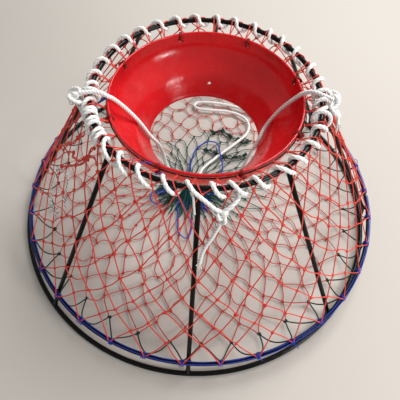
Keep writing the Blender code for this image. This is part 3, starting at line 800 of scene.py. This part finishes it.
def add_knots(bm, knots, size, rng):
    """Tie a knot at each place, turned to its net."""
    pattern = knot_mesh(size)
    for place, outward in knots:
        before = len(bm.verts)
        bm.from_mesh(pattern)
        bm.verts.ensure_lookup_table()
        fresh = bm.verts[before:]
        turn = outward.to_track_quat("Z", "Y").to_matrix().to_4x4()
        spin = Matrix.Rotation(rng.uniform(0.0, tau), 4, "Z")
        grow = Matrix.Scale(rng.uniform(0.85, 1.15), 4)
        bmesh.ops.transform(bm, matrix=Matrix.Translation(place) @ turn @ spin @ grow, verts=fresh)
    bpy.data.meshes.remove(pattern)


def bar_line(start, end, up, length, lean, rng):
    """A bar of twine of a known length between two knots. It bows aside where they sit closer than that."""
    chord = end - start
    across = chord.cross(up).normalized()
    spare = 2.0 / pi * sqrt(max(0.0, length - chord.length) * chord.length)
    wave = 0.16 * spare * rng.uniform(-1.0, 1.0)
    lift = min(0.2 * spare, 0.003) * rng.random()
    points = []
    for step in range(BAR_STEPS + 1):
        share = step / BAR_STEPS
        bow = sin(pi * share)
        aside = spare * lean * bow + wave * sin(tau * share)
        points.append(start.lerp(end, share) + across * aside + up * (lift * bow))
    return points


def net_bars(rows, normals, first, least, slack, seed):
    """Every bar of a net, row by row.

    first is 1 where the first row lines up with the hitches. Each mesh is more or less open at
    random, and a bar bows away from the fuller of its two.
    """
    rng = random.Random(seed)
    count = len(rows[0])
    fullness = {(row, half): rng.random() for row in range(len(rows) + 1) for half in range(2 * count)}
    bars = []
    for row in range(len(rows) - 1):
        for column in range(count):
            half = 2 * column + (row + first + 1) % 2
            for side in (-1, 1):
                below = (half + side - (row + first) % 2) // 2 % count
                beside = fullness[row, (half + side) % (2 * count)]
                lean = tanh(3.0 * side * (fullness[row + 1, half] - beside))
                start = rows[row][column]
                end = rows[row + 1][below]
                length = max(least, (end - start).length * (1.0 + rng.uniform(0.2, 1.0) * slack))
                bars.append(bar_line(start, end, normals[column], length, lean, rng))
    return bars


def net_piece(name, bars, knots, twine, material, slot, seed, *nodes):
    """A piece of net from its bars and knots."""
    bm = bmesh.new()
    sweep_many(bm, bars, twine)
    add_knots(bm, knots, twine * KNOT_TO_TWINE, random.Random(seed))
    add_piece(name, bm, material, slot, *nodes)


def knot_azimuth(column, row):
    """Where a knot sits round the pot: odd rows line up with the hitches on the net ring."""
    return FIRST_HITCH + (column + 0.5 * ((row + 1) % 2)) * MESH_SPACING


def side_distances():
    """How far down the side each row of knots sits, for bars of one length."""
    steps = [SIDE_FIRST_KNOT, SIDE_SECOND_KNOT]
    while len(steps) < SIDE_HALF_ROWS:
        half = pi * (LEG_TOP.x + LEG_RUN.x * steps[-1]) / MESH_COLUMNS
        steps.append(steps[-1] + sqrt(MESH_BAR ** 2 - half * half))
    return steps + [LEG_LENGTH]


def side_rows():
    """The side net's knots, row by row, from just under the top ring to the net ring."""
    rng = random.Random(11)
    distances = side_distances()
    rows = []
    for row, distance in enumerate(distances):
        share = row / (len(distances) - 1)
        loose = 0.3 + 0.7 * sin(pi * share)
        points = []
        for column in range(MESH_COLUMNS):
            azimuth = knot_azimuth(column, row) + SIDE_TWIST * (1.0 - share)
            if share == 1.0:
                points.append(on_net_ring(azimuth, UNDER_HITCH, SIDE_HITCH_TURN))
                continue
            between_legs = sin(radians(azimuth) * 4.0) ** 2
            sag = SIDE_SAG * sin(pi * share) * between_legs
            azimuth += rng.uniform(-KNOT_TURN, KNOT_TURN) * loose
            down = rng.uniform(-KNOT_SHAKE, KNOT_SHAKE) * loose
            points.append(on_side(distance + down, NET_STAND_OFF - sag, azimuth))
        rows.append(points)
    return rows


def side_net(rows, material):
    """The net down the outside of the legs."""
    normals = [facing(LEG_OUTWARD, knot_azimuth(column, 0)) for column in range(MESH_COLUMNS)]
    bars = net_bars(rows, normals, 0, 0.0, NET_SLACK, 13)
    knots = [(place, normals[column]) for row in rows[:-1] for column, place in enumerate(row)]
    net_piece("side_net_twine", bars, knots, SIDE_TWINE, material, "net_twine", 13, "side_net")


def bottom_rows():
    """The floor net's knots, from inside the net ring, down to the floor and in to the gather."""
    rng = random.Random(23)
    outer, inner = BOTTOM_RADII[0], BOTTOM_RADII[-1]
    rows = []
    for row, radius in enumerate(BOTTOM_RADII):
        drawn = (outer - radius) / (outer - inner)
        centre = (FRAME_SHIFT + (GATHER_CENTRE[0] - FRAME_SHIFT) * drawn, GATHER_CENTRE[1] * drawn)
        loose = sin(pi * drawn) ** 0.7 if 0.0 < drawn < 1.0 else 0.0
        points = []
        for column in range(MESH_COLUMNS):
            azimuth = knot_azimuth(column, row + 1)
            if row == 0:
                points.append(on_net_ring(azimuth, UNDER_HITCH, BOTTOM_HITCH_TURN))
                continue
            height = BOTTOM_KNOT_HEIGHT + rng.uniform(0.0, 0.003)
            if row == 1:
                height = BOTTOM_EDGE_HEIGHT
            swirl = BOTTOM_SWIRL * noise.noise(Vector((radius * 5.0, azimuth / 40.0, 3.0))) * loose
            ripple = BOTTOM_RIPPLE * noise.noise(Vector((radius * 9.0, azimuth / 16.0, 8.0))) * loose
            shake = rng.uniform(-KNOT_SHAKE, KNOT_SHAKE) * loose
            points.append(around(radius + shake + ripple, azimuth + swirl, height, centre))
        rows.append(points)
    return rows


def in_green(place):
    """Whether a place on the floor is in the net's green middle."""
    return dist(place[:2], GREEN_CENTRE) < GREEN_RADIUS


def drooped(line):
    """An edge bar drops from the net ring before it runs inwards."""
    middle = line[BAR_STEPS // 2]
    outward = Vector((middle.x - FRAME_SHIFT, middle.y, 0.0)).normalized()
    droop = outward * EDGE_REACH - UP * EDGE_DROP
    return [place + droop * sin(pi * step / BAR_STEPS) for step, place in enumerate(line)]


def bottom_net(rows, red, green, dark):
    """The floor net: dark bars from the net ring, red meshes, and green ones round the gather."""
    normals = [UP] * MESH_COLUMNS
    edge = [drooped(line) for line in net_bars(rows[:2], normals, 1, EDGE_BAR, NET_SLACK, 19)]
    knots = [(place, UP) for place in rows[1]]
    net_piece("bottom_net_edge", edge, knots, EDGE_TWINE, dark, "gather_twine", 19)
    bars = net_bars(rows[1:], normals, 0, BOTTOM_BAR, BOTTOM_SLACK, 29)
    knots = [(place, UP) for row in rows[2:] for place in row]
    parts = (
        ("bottom_net_twine", False, red, "net_twine", ["bottom_net"]),
        ("bottom_net_middle", True, green, "gather_twine", []),
    )
    for name, wanted, material, slot, nodes in parts:
        chosen = [line for line in bars if in_green(line[BAR_STEPS // 2]) == wanted]
        tied = [knot for knot in knots if in_green(knot[0]) == wanted]
        net_piece(name, chosen, tied, NET_TWINE, material, slot, 29, *nodes)


def side_mend(name, strands, twine, knot_step, wander, material, seed):
    """Strands knotted in over the side net at the left, where it was mended."""
    rng = random.Random(seed)
    bm = bmesh.new()
    ties = []
    for strand in strands:
        route = []
        for down, azimuth in strand:
            route.append(on_side(down + rng.uniform(-wander, wander), NET_STAND_OFF + 0.003, azimuth))
        smooth_cord(bm, route, MEND_STEP, twine)
        ties += [(place, facing(LEG_OUTWARD, strand[0][1])) for place in route[::knot_step]]
    add_knots(bm, ties, twine * KNOT_TO_TWINE * 1.1, rng)
    add_piece(name, bm, material, "net_twine")


def collar_net(rows, material):
    """The last row of net: from the side net's first knots, over the top ring, to the cord under the rim."""
    rng = random.Random(53)
    inner = []
    for column in range(MESH_COLUMNS):
        azimuth = knot_azimuth(column, 1) + rng.uniform(-0.8, 0.8)
        inner.append(around(RIM_CORD_RADIUS + 0.003, azimuth, MOUTH_HEIGHT - RIM_CORD_DROP))
    bm = bmesh.new()
    for column, start in enumerate(rows[0]):
        start_azimuth = knot_azimuth(column, 0) + SIDE_TWIST
        for side in (-0.5, 0.5):
            end_azimuth = knot_azimuth(column, 0) + side * MESH_SPACING
            line = [start]
            for share, turn in COLLAR_OVER:
                azimuth = start_azimuth + (end_azimuth - start_azimuth) * share
                line.append(on_top_ring(azimuth, COLLAR_OFFSET, turn))
            line.append(inner[int(column + 0.5 + side) % MESH_COLUMNS])
            smooth_cord(bm, line, TWINE_STEP, NET_TWINE)
    add_knots(bm, [(place, UP) for place in inner], KNOT_SIZE, rng)
    add_piece("collar_net_twine", bm, material, "net_twine", "collar_net")


def rim_cord(material):
    """The dark cord through the net's edge, just under the cone's rim."""
    rng = random.Random(47)
    points = []
    for step in range(CONE_STEPS):
        azimuth = 360.0 * step / CONE_STEPS
        wave = 0.0008 * sin(radians(azimuth * 8.0 + 30.0))
        drop = RIM_CORD_DROP + wave + rng.uniform(-0.0003, 0.0003)
        points.append(around(RIM_CORD_RADIUS, azimuth, MOUTH_HEIGHT - drop))
    bm = bmesh.new()
    sweep(bm, points, RIM_CORD, closed=True, fine=2)
    add_piece("rim_cord", bm, material, "net_twine")


def collar_ends(material):
    """Short blue ends tied between the top ring and the rim at the front left."""
    bm = bmesh.new()
    for end in COLLAR_ENDS:
        route = [around(radius, azimuth, height) for azimuth, radius, height in end]
        smooth_cord(bm, route, END_STEP, LACING_TWINE)
    add_piece("collar_ends", bm, material, "lacing_twine")


def rim_lashing(number, azimuth, material):
    """Twine through a hole in the cone and over its rim, three times round and knotted outside."""
    rng = random.Random(60 + number)
    drop = LASHING_DROP / CONE_RUN.y
    top = RIM_BEAD_RADIUS + LASHING_TWINE / 2.0 + 0.0004
    centre = MOUTH - CONE_RUN * ((drop - top) / 2.0)
    half_height = (drop + top) / 2.0
    route = []
    for step in range(LASHING_STEPS + 1):
        turn = tau * LASHING_ROUNDS * step / LASHING_STEPS
        width = LASHING_HALF_WIDTH + 0.001 * rng.random() if cos(turn) > 0.0 else LASHING_INSIDE
        aside = CONE_RUN * (half_height * sin(turn)) + CONE_NORMAL * (width * cos(turn))
        place = bulged(centre + aside)
        shift = LASHING_SPREAD * (step / LASHING_STEPS - 0.5) + rng.uniform(-0.12, 0.12)
        route.append(around(place.x, azimuth + shift, place.y))
    bm = bmesh.new()
    smooth_cord(bm, route, LASHING_STEP, LASHING_TWINE)
    side = bulged(centre + CONE_NORMAL * (LASHING_HALF_WIDTH + 0.002))
    inner = bulged(MOUTH - CONE_RUN * (drop - 0.004) - CONE_NORMAL * LASHING_INSIDE)
    outward = facing(CONE_NORMAL, azimuth)
    knots = ((side, -0.7), (side, 0.8), (inner, 0.0))
    ties = [(around(place.x, azimuth + step, place.y), outward) for place, step in knots]
    add_knots(bm, ties, LASHING_KNOT, rng)
    add_piece(f"rim_lashing_twine_{number}", bm, material, "net_twine", f"rim_lashing_{number}")


# What lies on the floor net


def gather_lines(rows, rng, from_net, tufts, ends):
    """The gather's lines up to the bunch, each with the angle it comes from: net bars and loose ends."""
    middle = Vector((*GATHER_CENTRE, 0.0))
    lines = []
    for start in rows[-1] if from_net else []:
        away = start - middle
        lines.append((atan2(away.y, away.x), [start]))
    for tuft in range(tufts):
        towards = radians(-90.0 + 78.0 * (2.0 * (tuft + rng.random()) / tufts - 1.0))
        far = rng.uniform(0.11, 0.19)
        for _ in range(ends):
            angle = towards + rng.uniform(-0.16, 0.16)
            bend = level(angle + pi / 2.0, rng.uniform(-0.022, 0.022))
            reach = far * rng.uniform(0.75, 1.05)
            tip = middle + level(angle, reach, rng.uniform(0.007, 0.012)) + bend
            along = middle + level(angle, reach * 0.6, rng.uniform(0.010, 0.022)) - bend * 0.4
            lines.append((angle, [tip, along]))
    return lines


def purse_gather(rows, fibres):
    """The net's last meshes drawn up into a bunch, with loose ends that fan from it over the floor."""
    middle = Vector((*GATHER_CENTRE, 0.0))
    for name, (fibre, slot, nodes, seed, tufts, ends, twine) in GATHER_PARTS.items():
        rng = random.Random(seed)
        bm = bmesh.new()
        for angle, line in gather_lines(rows, rng, bool(nodes), tufts, ends):
            turned = angle + rng.uniform(-0.12, 0.12)
            line.append(middle + level(turned, rng.uniform(0.026, 0.044), rng.uniform(0.014, 0.030)))
            line.append(middle + level(turned, rng.uniform(0.006, 0.016), rng.uniform(0.022, 0.034)))
            twist = angle + rng.uniform(-1.1, 1.1)
            line.append(middle + level(twist, rng.uniform(0.012, 0.034), rng.uniform(0.026, 0.040)))
            smooth_cord(bm, line, GATHER_STEP, twine, fine=0)
        if fibre == "blue":
            for loop in BLUE_LOOPS:
                smooth_cord(bm, [(x, y, BLUE_LOOP_HEIGHT) for x, y in loop], TWINE_STEP, twine)
        add_piece(name, bm, fibres[fibre], slot, *nodes)


def floor_tangles(material):
    """Two ridges of spare dark twine, knotted along the floor net behind the gather."""
    rng = random.Random(89)
    bm = bmesh.new()
    ties = []
    for ridge in DARK_RIDGES:
        places = smooth_line([(x, y, RIDGE_HEIGHT) for x, y in ridge], RIDGE_STEP)
        for strand in range(RIDGE_STRANDS):
            line = []
            for index, place in enumerate(places):
                phase = index * 1.9 + strand * 2.1
                aside = 0.007 * sin(phase) + rng.uniform(-0.003, 0.003)
                line.append(place + Vector((0.3 * aside, aside, 0.005 * cos(phase))))
            smooth_cord(bm, line, TWINE_STEP, NET_TWINE)
        for place in places[::2]:
            ties.append((place + UP * 0.003, Vector((0.2, -0.3, 1.0))))
            for _ in range(2):
                angle = rng.uniform(0.0, tau)
                bend = level(angle + pi / 2.0, rng.uniform(-0.008, 0.008))
                tuft = [place, place + level(angle, 0.014) + bend, place + level(angle, 0.030)]
                smooth_cord(bm, tuft, TWINE_STEP, NET_TWINE)
    add_knots(bm, ties, RIDGE_KNOT, rng)
    add_piece("floor_tangles", bm, material, "gather_twine")


# Ropes on the rings


def rope_knot(bm, place, turned, half_size, rope, seed):
    """A pulled-down knot: the rope goes three times round itself and under."""
    points = []
    count = 96
    for step in range(count):
        turn = tau * step / count
        x = sin(turn) + 2.0 * sin(2.0 * turn)
        y = cos(turn) - 2.0 * cos(2.0 * turn)
        z = -sin(3.0 * turn)
        local = Vector((z * half_size[0], x / 2.8 * half_size[1], y / 2.8 * half_size[2]))
        local *= 1.0 + 0.06 * noise.noise(Vector((seed, turn, 0.0)))
        points.append(place + turned @ local)
    sweep(bm, points + points[:1], rope, lay=ROPE_LAY)


def fray(bm, line, seed):
    """The loose yarns at the cut end of a rope's line."""
    rng = random.Random(seed)
    place = line[-1]
    along = (place - line[-2]).normalized()
    for _ in range(9):
        spread = Vector([rng.uniform(-1.0, 1.0) for _ in range(3)]) * 0.008
        tip = place + along * rng.uniform(0.008, 0.015) + spread
        sweep(bm, [place - along * 0.003, place.lerp(tip, 0.5) + spread * 0.2, tip], ROPE_YARN, fine=0)


def turn_from(other, azimuth):
    """The turn from one azimuth to another, from -180 to 180 degrees."""
    return (azimuth - other + 180.0) % 360.0 - 180.0


def clear_of_legs(azimuth):
    """The nearest azimuth at which the rope passes under the ring beside a leg."""
    for leg_azimuth, _ in LEG_AZIMUTHS.values():
        away = turn_from(leg_azimuth, azimuth)
        if abs(away) < BESIDE_LEG:
            return azimuth - away + copysign(BESIDE_LEG, away)
    return azimuth


def wrap_point(azimuth, offset, turn):
    """A point of the wrap: drawn tight under the lifting rope's knots."""
    if any(abs(turn_from(knot, azimuth)) < UNDER_KNOT for knot in BRIDLE_KNOT_AZIMUTHS):
        offset = min(offset, WRAP_RADIUS)
    return on_top_ring(azimuth, offset, turn)


def ring_wrap(material):
    """The white rope wound round the top ring, tied at the front.

    It is tight over the ring and hangs slack below it, where it holds the net's first meshes.
    """
    rng = random.Random(31)
    knot = on_side(WRAP_KNOT_DOWN - 0.010, NET_STAND_OFF + 0.010, WRAP_KNOT_AZIMUTH)
    route = [knot, on_side(0.040, 0.021, -77.0), on_top_ring(-73.6, 0.024, -42.0)]
    route += [on_top_ring(-76.0, 0.0205, -90.0), on_top_ring(-81.0, 0.0150, -140.0)]
    passes = list(WRAP_FIRST_PASSES)
    passes += [(top - 2.5, top + 4.0) for top in WRAP_BACK_TOPS + WRAP_LEFT_TOPS]
    passes += WRAP_LAST_PASSES
    for number, (inner, outer) in enumerate(passes):
        outer = clear_of_legs(outer)
        slack = rng.uniform(-0.0012, 0.0016)
        lean = rng.uniform(-0.7, 0.7)
        for turn, share, offset in WRAP_OVER:
            azimuth = inner + (outer - inner) * share + lean * sin(pi * share)
            loosened = offset + slack * max(0.0, cos(radians(turn + 50.0)))
            route.append(wrap_point(azimuth, loosened, turn))
        if number == len(passes) - 1:
            break
        following = passes[number + 1][0]
        for turn, share, offset in WRAP_UNDER:
            azimuth = outer + (following - outer) * share
            if share < 0.4:
                azimuth = clear_of_legs(azimuth)
            route.append(wrap_point(azimuth, offset + slack * 0.5, turn))
    route = route[:-2] + [on_side(0.030, 0.0205, -86.2), on_side(0.044, 0.0225, -83.6)]
    route.append(knot + Vector((-0.004, 0.0, 0.004)))
    bm = bmesh.new()
    smooth_cord(bm, route, ROPE_STEP, WRAP_DRAWN, lay=WRAP_LAY)
    spare = [on_top_ring(-93.4, 0.0140, -60.0), on_side(0.020, 0.0125, -92.2)]
    spare += [on_side(0.044, 0.0115, -91.7), on_side(0.066, 0.0120, -91.2)]
    smooth_cord(bm, spare, ROPE_STEP, SPARE_ROPE, lay=SPARE_LAY)
    add_piece("ring_wrap_rope", bm, material, "white_rope", "ring_wrap")


def wrap_knot(material):
    """The knot that ties the wrapping rope's two ends in front, over the side net."""
    tilt = atan2(LEG_RUN.x, -LEG_RUN.y)
    turned = Matrix.Rotation(radians(WRAP_KNOT_AZIMUTH), 3, "Z") @ Matrix.Rotation(-tilt, 3, "Y")
    bm = bmesh.new()
    place = on_side(WRAP_KNOT_DOWN, NET_STAND_OFF + 0.0115, WRAP_KNOT_AZIMUTH)
    rope_knot(bm, place, turned, WRAP_KNOT_HALF_SIZE, WRAP_ROPE, 3.0)
    fray(bm, wrap_tail_route(), 17)
    add_piece("wrap_knot_rope", bm, material, "white_rope", "wrap_knot")


def bridle_knot(name, coils, middle, half_size, tail, material):
    """The lifting rope's knot: coils round the top ring and a bulky knot outside it, with a frayed end."""
    azimuth, outside, above = middle
    turned = Matrix.Rotation(radians(azimuth), 3, "Z")
    bm = bmesh.new()
    for coil in coils:
        turns = [360.0 * step / COIL_STEPS for step in range(COIL_STEPS + 1)]
        points = [on_top_ring(coil + sin(radians(turn)), COIL_OFFSET, turn) for turn in turns]
        sweep(bm, points, KNOT_ROPE, lay=ROPE_LAY)
    centre = around(TOP_RING_RADIUS + outside, azimuth, TOP_RING_HEIGHT + above)
    rope_knot(bm, centre, turned, half_size, KNOT_ROPE, azimuth)
    core = tuple(side * 0.55 for side in half_size)
    rope_knot(bm, centre, turned @ Matrix.Rotation(1.1, 3, "X"), core, KNOT_ROPE, azimuth + 7.0)
    end = [around(TOP_RING_RADIUS + out, turn, TOP_RING_HEIGHT + up) for turn, out, up in tail]
    smooth_cord(bm, end, END_STEP, KNOT_ROPE * 0.9, lay=ROPE_LAY)
    fray(bm, end, azimuth)
    add_piece(f"{name}_rope", bm, material, "white_rope", name)


def net_lacing(material):
    """Two blue twines along the net ring, hitched round it in a narrow band at each mesh."""
    rng = random.Random(41)
    bm = bmesh.new()
    for strand in range(2):
        route = []
        for loop in range(MESH_COLUMNS):
            middle = FIRST_HITCH + MESH_SPACING * loop + rng.uniform(-0.4, 0.4)
            rest = 90.0 + 30.0 * cos(radians(middle - 180.0)) + STRAND_APART * (strand - 0.5)
            for step in range(LACING_STEPS + 1):
                share = step / LACING_STEPS
                azimuth = middle + (share - 0.5) + 0.22 * strand
                route.append(on_net_ring(azimuth, HITCH_OFFSET, rest - 360.0 * LACING_ROUNDS * share))
            for share in (0.2, 0.5, 0.8):
                turn = rest + rng.uniform(-5.0, 5.0)
                offset = STRAND_OFFSET + rng.uniform(0.0, 0.0008)
                route.append(on_net_ring(middle + MESH_SPACING * share, offset, turn))
        smooth_cord(bm, route, LACING_STEP, LACING_TWINE)
    for hitch, turn, middle_step, end_step in LACING_ENDS:
        root = on_net_ring(FIRST_HITCH + MESH_SPACING * hitch, END_OFFSET, turn)
        line = [root, root + Vector(middle_step), root + Vector(end_step)]
        smooth_cord(bm, line, END_STEP, LACING_TWINE)
        add_knots(bm, [(root, UP)], LACING_KNOT, rng)
    add_piece("net_lacing_twine", bm, material, "lacing_twine", "net_lacing")


# Free cords


def bridle_route():
    """The lifting rope's route from the left knot to the right one, as the part's source has it."""
    over_ring = TOP_RING_HEIGHT + WRAP_RADIUS + (WRAP_ROPE + BRIDLE_ROPE) / 2.0 + 0.0015
    over_rim = MOUTH_HEIGHT + RIM_BEAD_RADIUS + BRIDLE_ROPE / 2.0 + 0.0045
    return [
        around(0.346, 190.4, over_ring + 0.001), around(0.298, 190.0, over_ring - 0.003),
        around(0.274, 189.6, over_rim), wall_point(187.8, 0.563), wall_point(186.0, 0.515),
        wall_point(186.2, 0.462), wall_point(190.5, 0.415), (-0.124, -0.034, 0.370),
        (-0.107, -0.018, 0.245), (-0.082, 0.025, 0.115), (-0.055, 0.052, 0.062), (-0.022, 0.072, 0.046),
        (0.003, 0.108, 0.030), (0.018, 0.150, ON_NET), (0.080, 0.222, ON_NET), (0.152, 0.296, ON_NET),
        (0.198, 0.352, ON_NET), (0.210, 0.408, ON_NET), (0.180, 0.457, ON_NET), (0.110, 0.482, ON_NET),
        (0.020, 0.484, ON_NET), (-0.030, 0.490, ON_NET), (-0.045, 0.509, ON_NET), (-0.022, 0.530, ON_NET),
        (0.070, 0.530, ON_NET), (0.180, 0.504, ON_NET), (0.278, 0.436, ON_NET), (0.318, 0.330, ON_NET),
        (0.275, 0.222, ON_NET), (0.195, 0.142, 0.019), (0.162, 0.085, 0.055), (0.156, 0.020, 0.180),
        (0.168, -0.036, 0.365), wall_point(-8.0, 0.412), wall_point(3.5, 0.444), wall_point(7.0, 0.500),
        wall_point(5.0, 0.563), around(0.274, 3.6, over_rim), around(0.298, 0.5, over_ring - 0.003),
        around(0.346, -4.4, over_ring + 0.001),
    ]


def purse_route():
    """The draw line's route, as the part's source has it."""
    return [
        (-0.046, 0.103, 0.022), (-0.041, 0.135, 0.017), (-0.034, 0.190, PURSE_ON_NET),
        (-0.020, 0.250, PURSE_ON_NET), (0.022, 0.292, PURSE_ON_NET), (0.062, 0.296, PURSE_ON_NET),
        (0.078, 0.268, 0.019), (0.084, 0.226, 0.031), (0.096, 0.182, 0.019), (0.098, 0.145, PURSE_ON_NET),
        (0.075, 0.108, PURSE_ON_NET), (0.042, 0.082, 0.018), (0.018, 0.072, 0.022),
    ]


def wrap_tail_route():
    """The wrapping rope's spare end, as the part's source has it."""
    hang = NET_STAND_OFF + 0.0015 + TAIL_ROPE / 2.0 + 0.0022
    return [
        on_side(0.088, hang + 0.002, -81.6), on_side(0.108, hang, -82.9), on_side(0.128, hang, -84.4),
        on_side(0.150, hang, -86.2), on_side(0.176, hang, -87.6), on_side(0.206, hang, -88.3),
    ]


def free_cord(name, route, diameter, twist, material, slot, node, far_end, lay):
    """A drawn cord along the route that the part's source gives it."""
    points = smooth_line(route, min(0.0030, diameter * 0.5))
    bm = bmesh.new()
    sweep(bm, points, diameter * PLUMP, lay=twist, fine=2)
    piece = add_piece(name, bm, material, slot, node)


# Stage


def stage():
    """A plain pale floor, one large soft lamp high behind, a weak one low in front and a pale room."""
    bm = bmesh.new()
    bmesh.ops.create_grid(bm, x_segments=1, y_segments=1, size=FLOOR_HALF_SIZE)
    mesh = as_mesh("floor", bm)
    # Matt and a little warm, so the pot's shadow lies soft on it
    pale_floor, _ = new_material("pale studio floor", "C0BAB2", 0.85, 0.2)
    mesh.materials.append(pale_floor)
    floor = add_object("floor", mesh)

    world = bpy.data.worlds.new("pale room")
    world.use_nodes = True
    room = world.node_tree.nodes["Background"].inputs
    room["Color"].default_value = srgb("FFFFFF")
    room["Strength"].default_value = ROOM_STRENGTH
    bpy.context.scene.world = world

    for name, (place, size, watts) in LAMPS.items():
        lamp = bpy.data.lights.new(name, "AREA")
        lamp.energy = watts
        lamp.size = size
        holder = add_object(name, lamp)
        holder.location = place
        holder.rotation_euler = (UP * 0.3 - Vector(place)).to_track_quat("-Z", "Y").to_euler()


def camera():
    """The photograph's camera: high in front, with a 53 degree view."""
    yaw, pitch, roll = (radians(angle) for angle in CAMERA_TURN)
    forward = Vector((sin(yaw) * cos(pitch), cos(yaw) * cos(pitch), -sin(pitch)))
    right = Vector((cos(yaw), -sin(yaw), 0.0))
    up = right.cross(forward)
    across = right * cos(roll) + up * sin(roll)
    upward = up * cos(roll) - right * sin(roll)
    data = bpy.data.cameras.new("camera")
    data.lens = LENS
    data.sensor_width = SENSOR
    data.sensor_fit = "HORIZONTAL"
    holder = add_object("camera", data)
    turn = Matrix((across, upward, -forward)).transposed().to_4x4()
    holder.matrix_world = Matrix.Translation(CAMERA_PLACE) @ turn
    bpy.context.scene.camera = holder
    bpy.context.scene.view_settings.view_transform = "Standard"


def build():
    """Dress every part of the pot."""
    camera()
    stage()
    steel = painted_steel()
    # The cone is deep red inside; outside, its face under the rim is painted pale: a painted glow of the
    # light that comes through its wall
    plastic = moulded_plastic("red moulded polyethylene", "B2151A", "C81D22")
    glow_painted_plastic = moulded_plastic("red polyethylene with painted glow", "DA5A53", "E6746C")
    fibres = {name: laid_fibre(*values) for name, values in FIBRES.items()}
    red, green, blue, dark = (fibres[name] for name in ("red", "green", "blue", "dark"))
    white, soft_white = fibres["white"], fibres["soft_white"]

    bridle = ("bridle_rope_line", bridle_route(), BRIDLE_ROPE, ROPE_LAY, white, "white_rope", "bridle_rope")
    purse = ("purse_line_cord", purse_route(), PURSE_LINE, None, blue, "lacing_twine", "purse_line")
    tail = ("wrap_tail_rope", wrap_tail_route(), TAIL_ROPE, ROPE_LAY, soft_white, "white_rope", "wrap_tail")
    free_cord(*bridle, "object", "loose")
    free_cord(*purse, "object", "loose")
    free_cord(*tail, "bare", "hanging")

    rod_ring("ground_ring", GROUND_RING_RADIUS, GROUND_ROD / 2.0, GROUND_ROD, 0.0, steel)
    rod_ring("net_ring", NET_RING_RADIUS, NET_RING_HEIGHT, NET_RING_ROD, FRAME_SHIFT, steel)
    rod_ring("top_ring", TOP_RING_RADIUS, TOP_RING_HEIGHT, TOP_RING_ROD, FRAME_SHIFT, steel)
    for name, azimuths in LEG_AZIMUTHS.items():
        leg(name, *azimuths, steel)
    weld_beads(steel)

    entrance_cone(plastic, glow_painted_plastic)
    rim_cord(fibres["rim_black"])
    collar_ends(blue)
    for number, azimuth in enumerate(LASHING_AZIMUTHS, start=1):
        rim_lashing(number, azimuth, fibres["dark_red"])

    rows = side_rows()
    side_net(rows, red)
    collar_net(rows, red)
    side_mend("side_mend_twine", WHITE_MENDS, MEND_TWINE, 2, 0.0, fibres["grey"], 83)
    side_mend("side_mend_red", RED_MENDS * 2, SIDE_TWINE, 4, 0.005, red, 97)
    rows = bottom_rows()
    bottom_net(rows, fibres["shaded_red"], green, dark)
    purse_gather(rows, fibres)
    floor_tangles(dark)

    ring_wrap(soft_white)
    wrap_knot(soft_white)
    net_lacing(blue)
    for name, shape in KNOT_SHAPES.items():
        bridle_knot(name, *shape, white)


build()
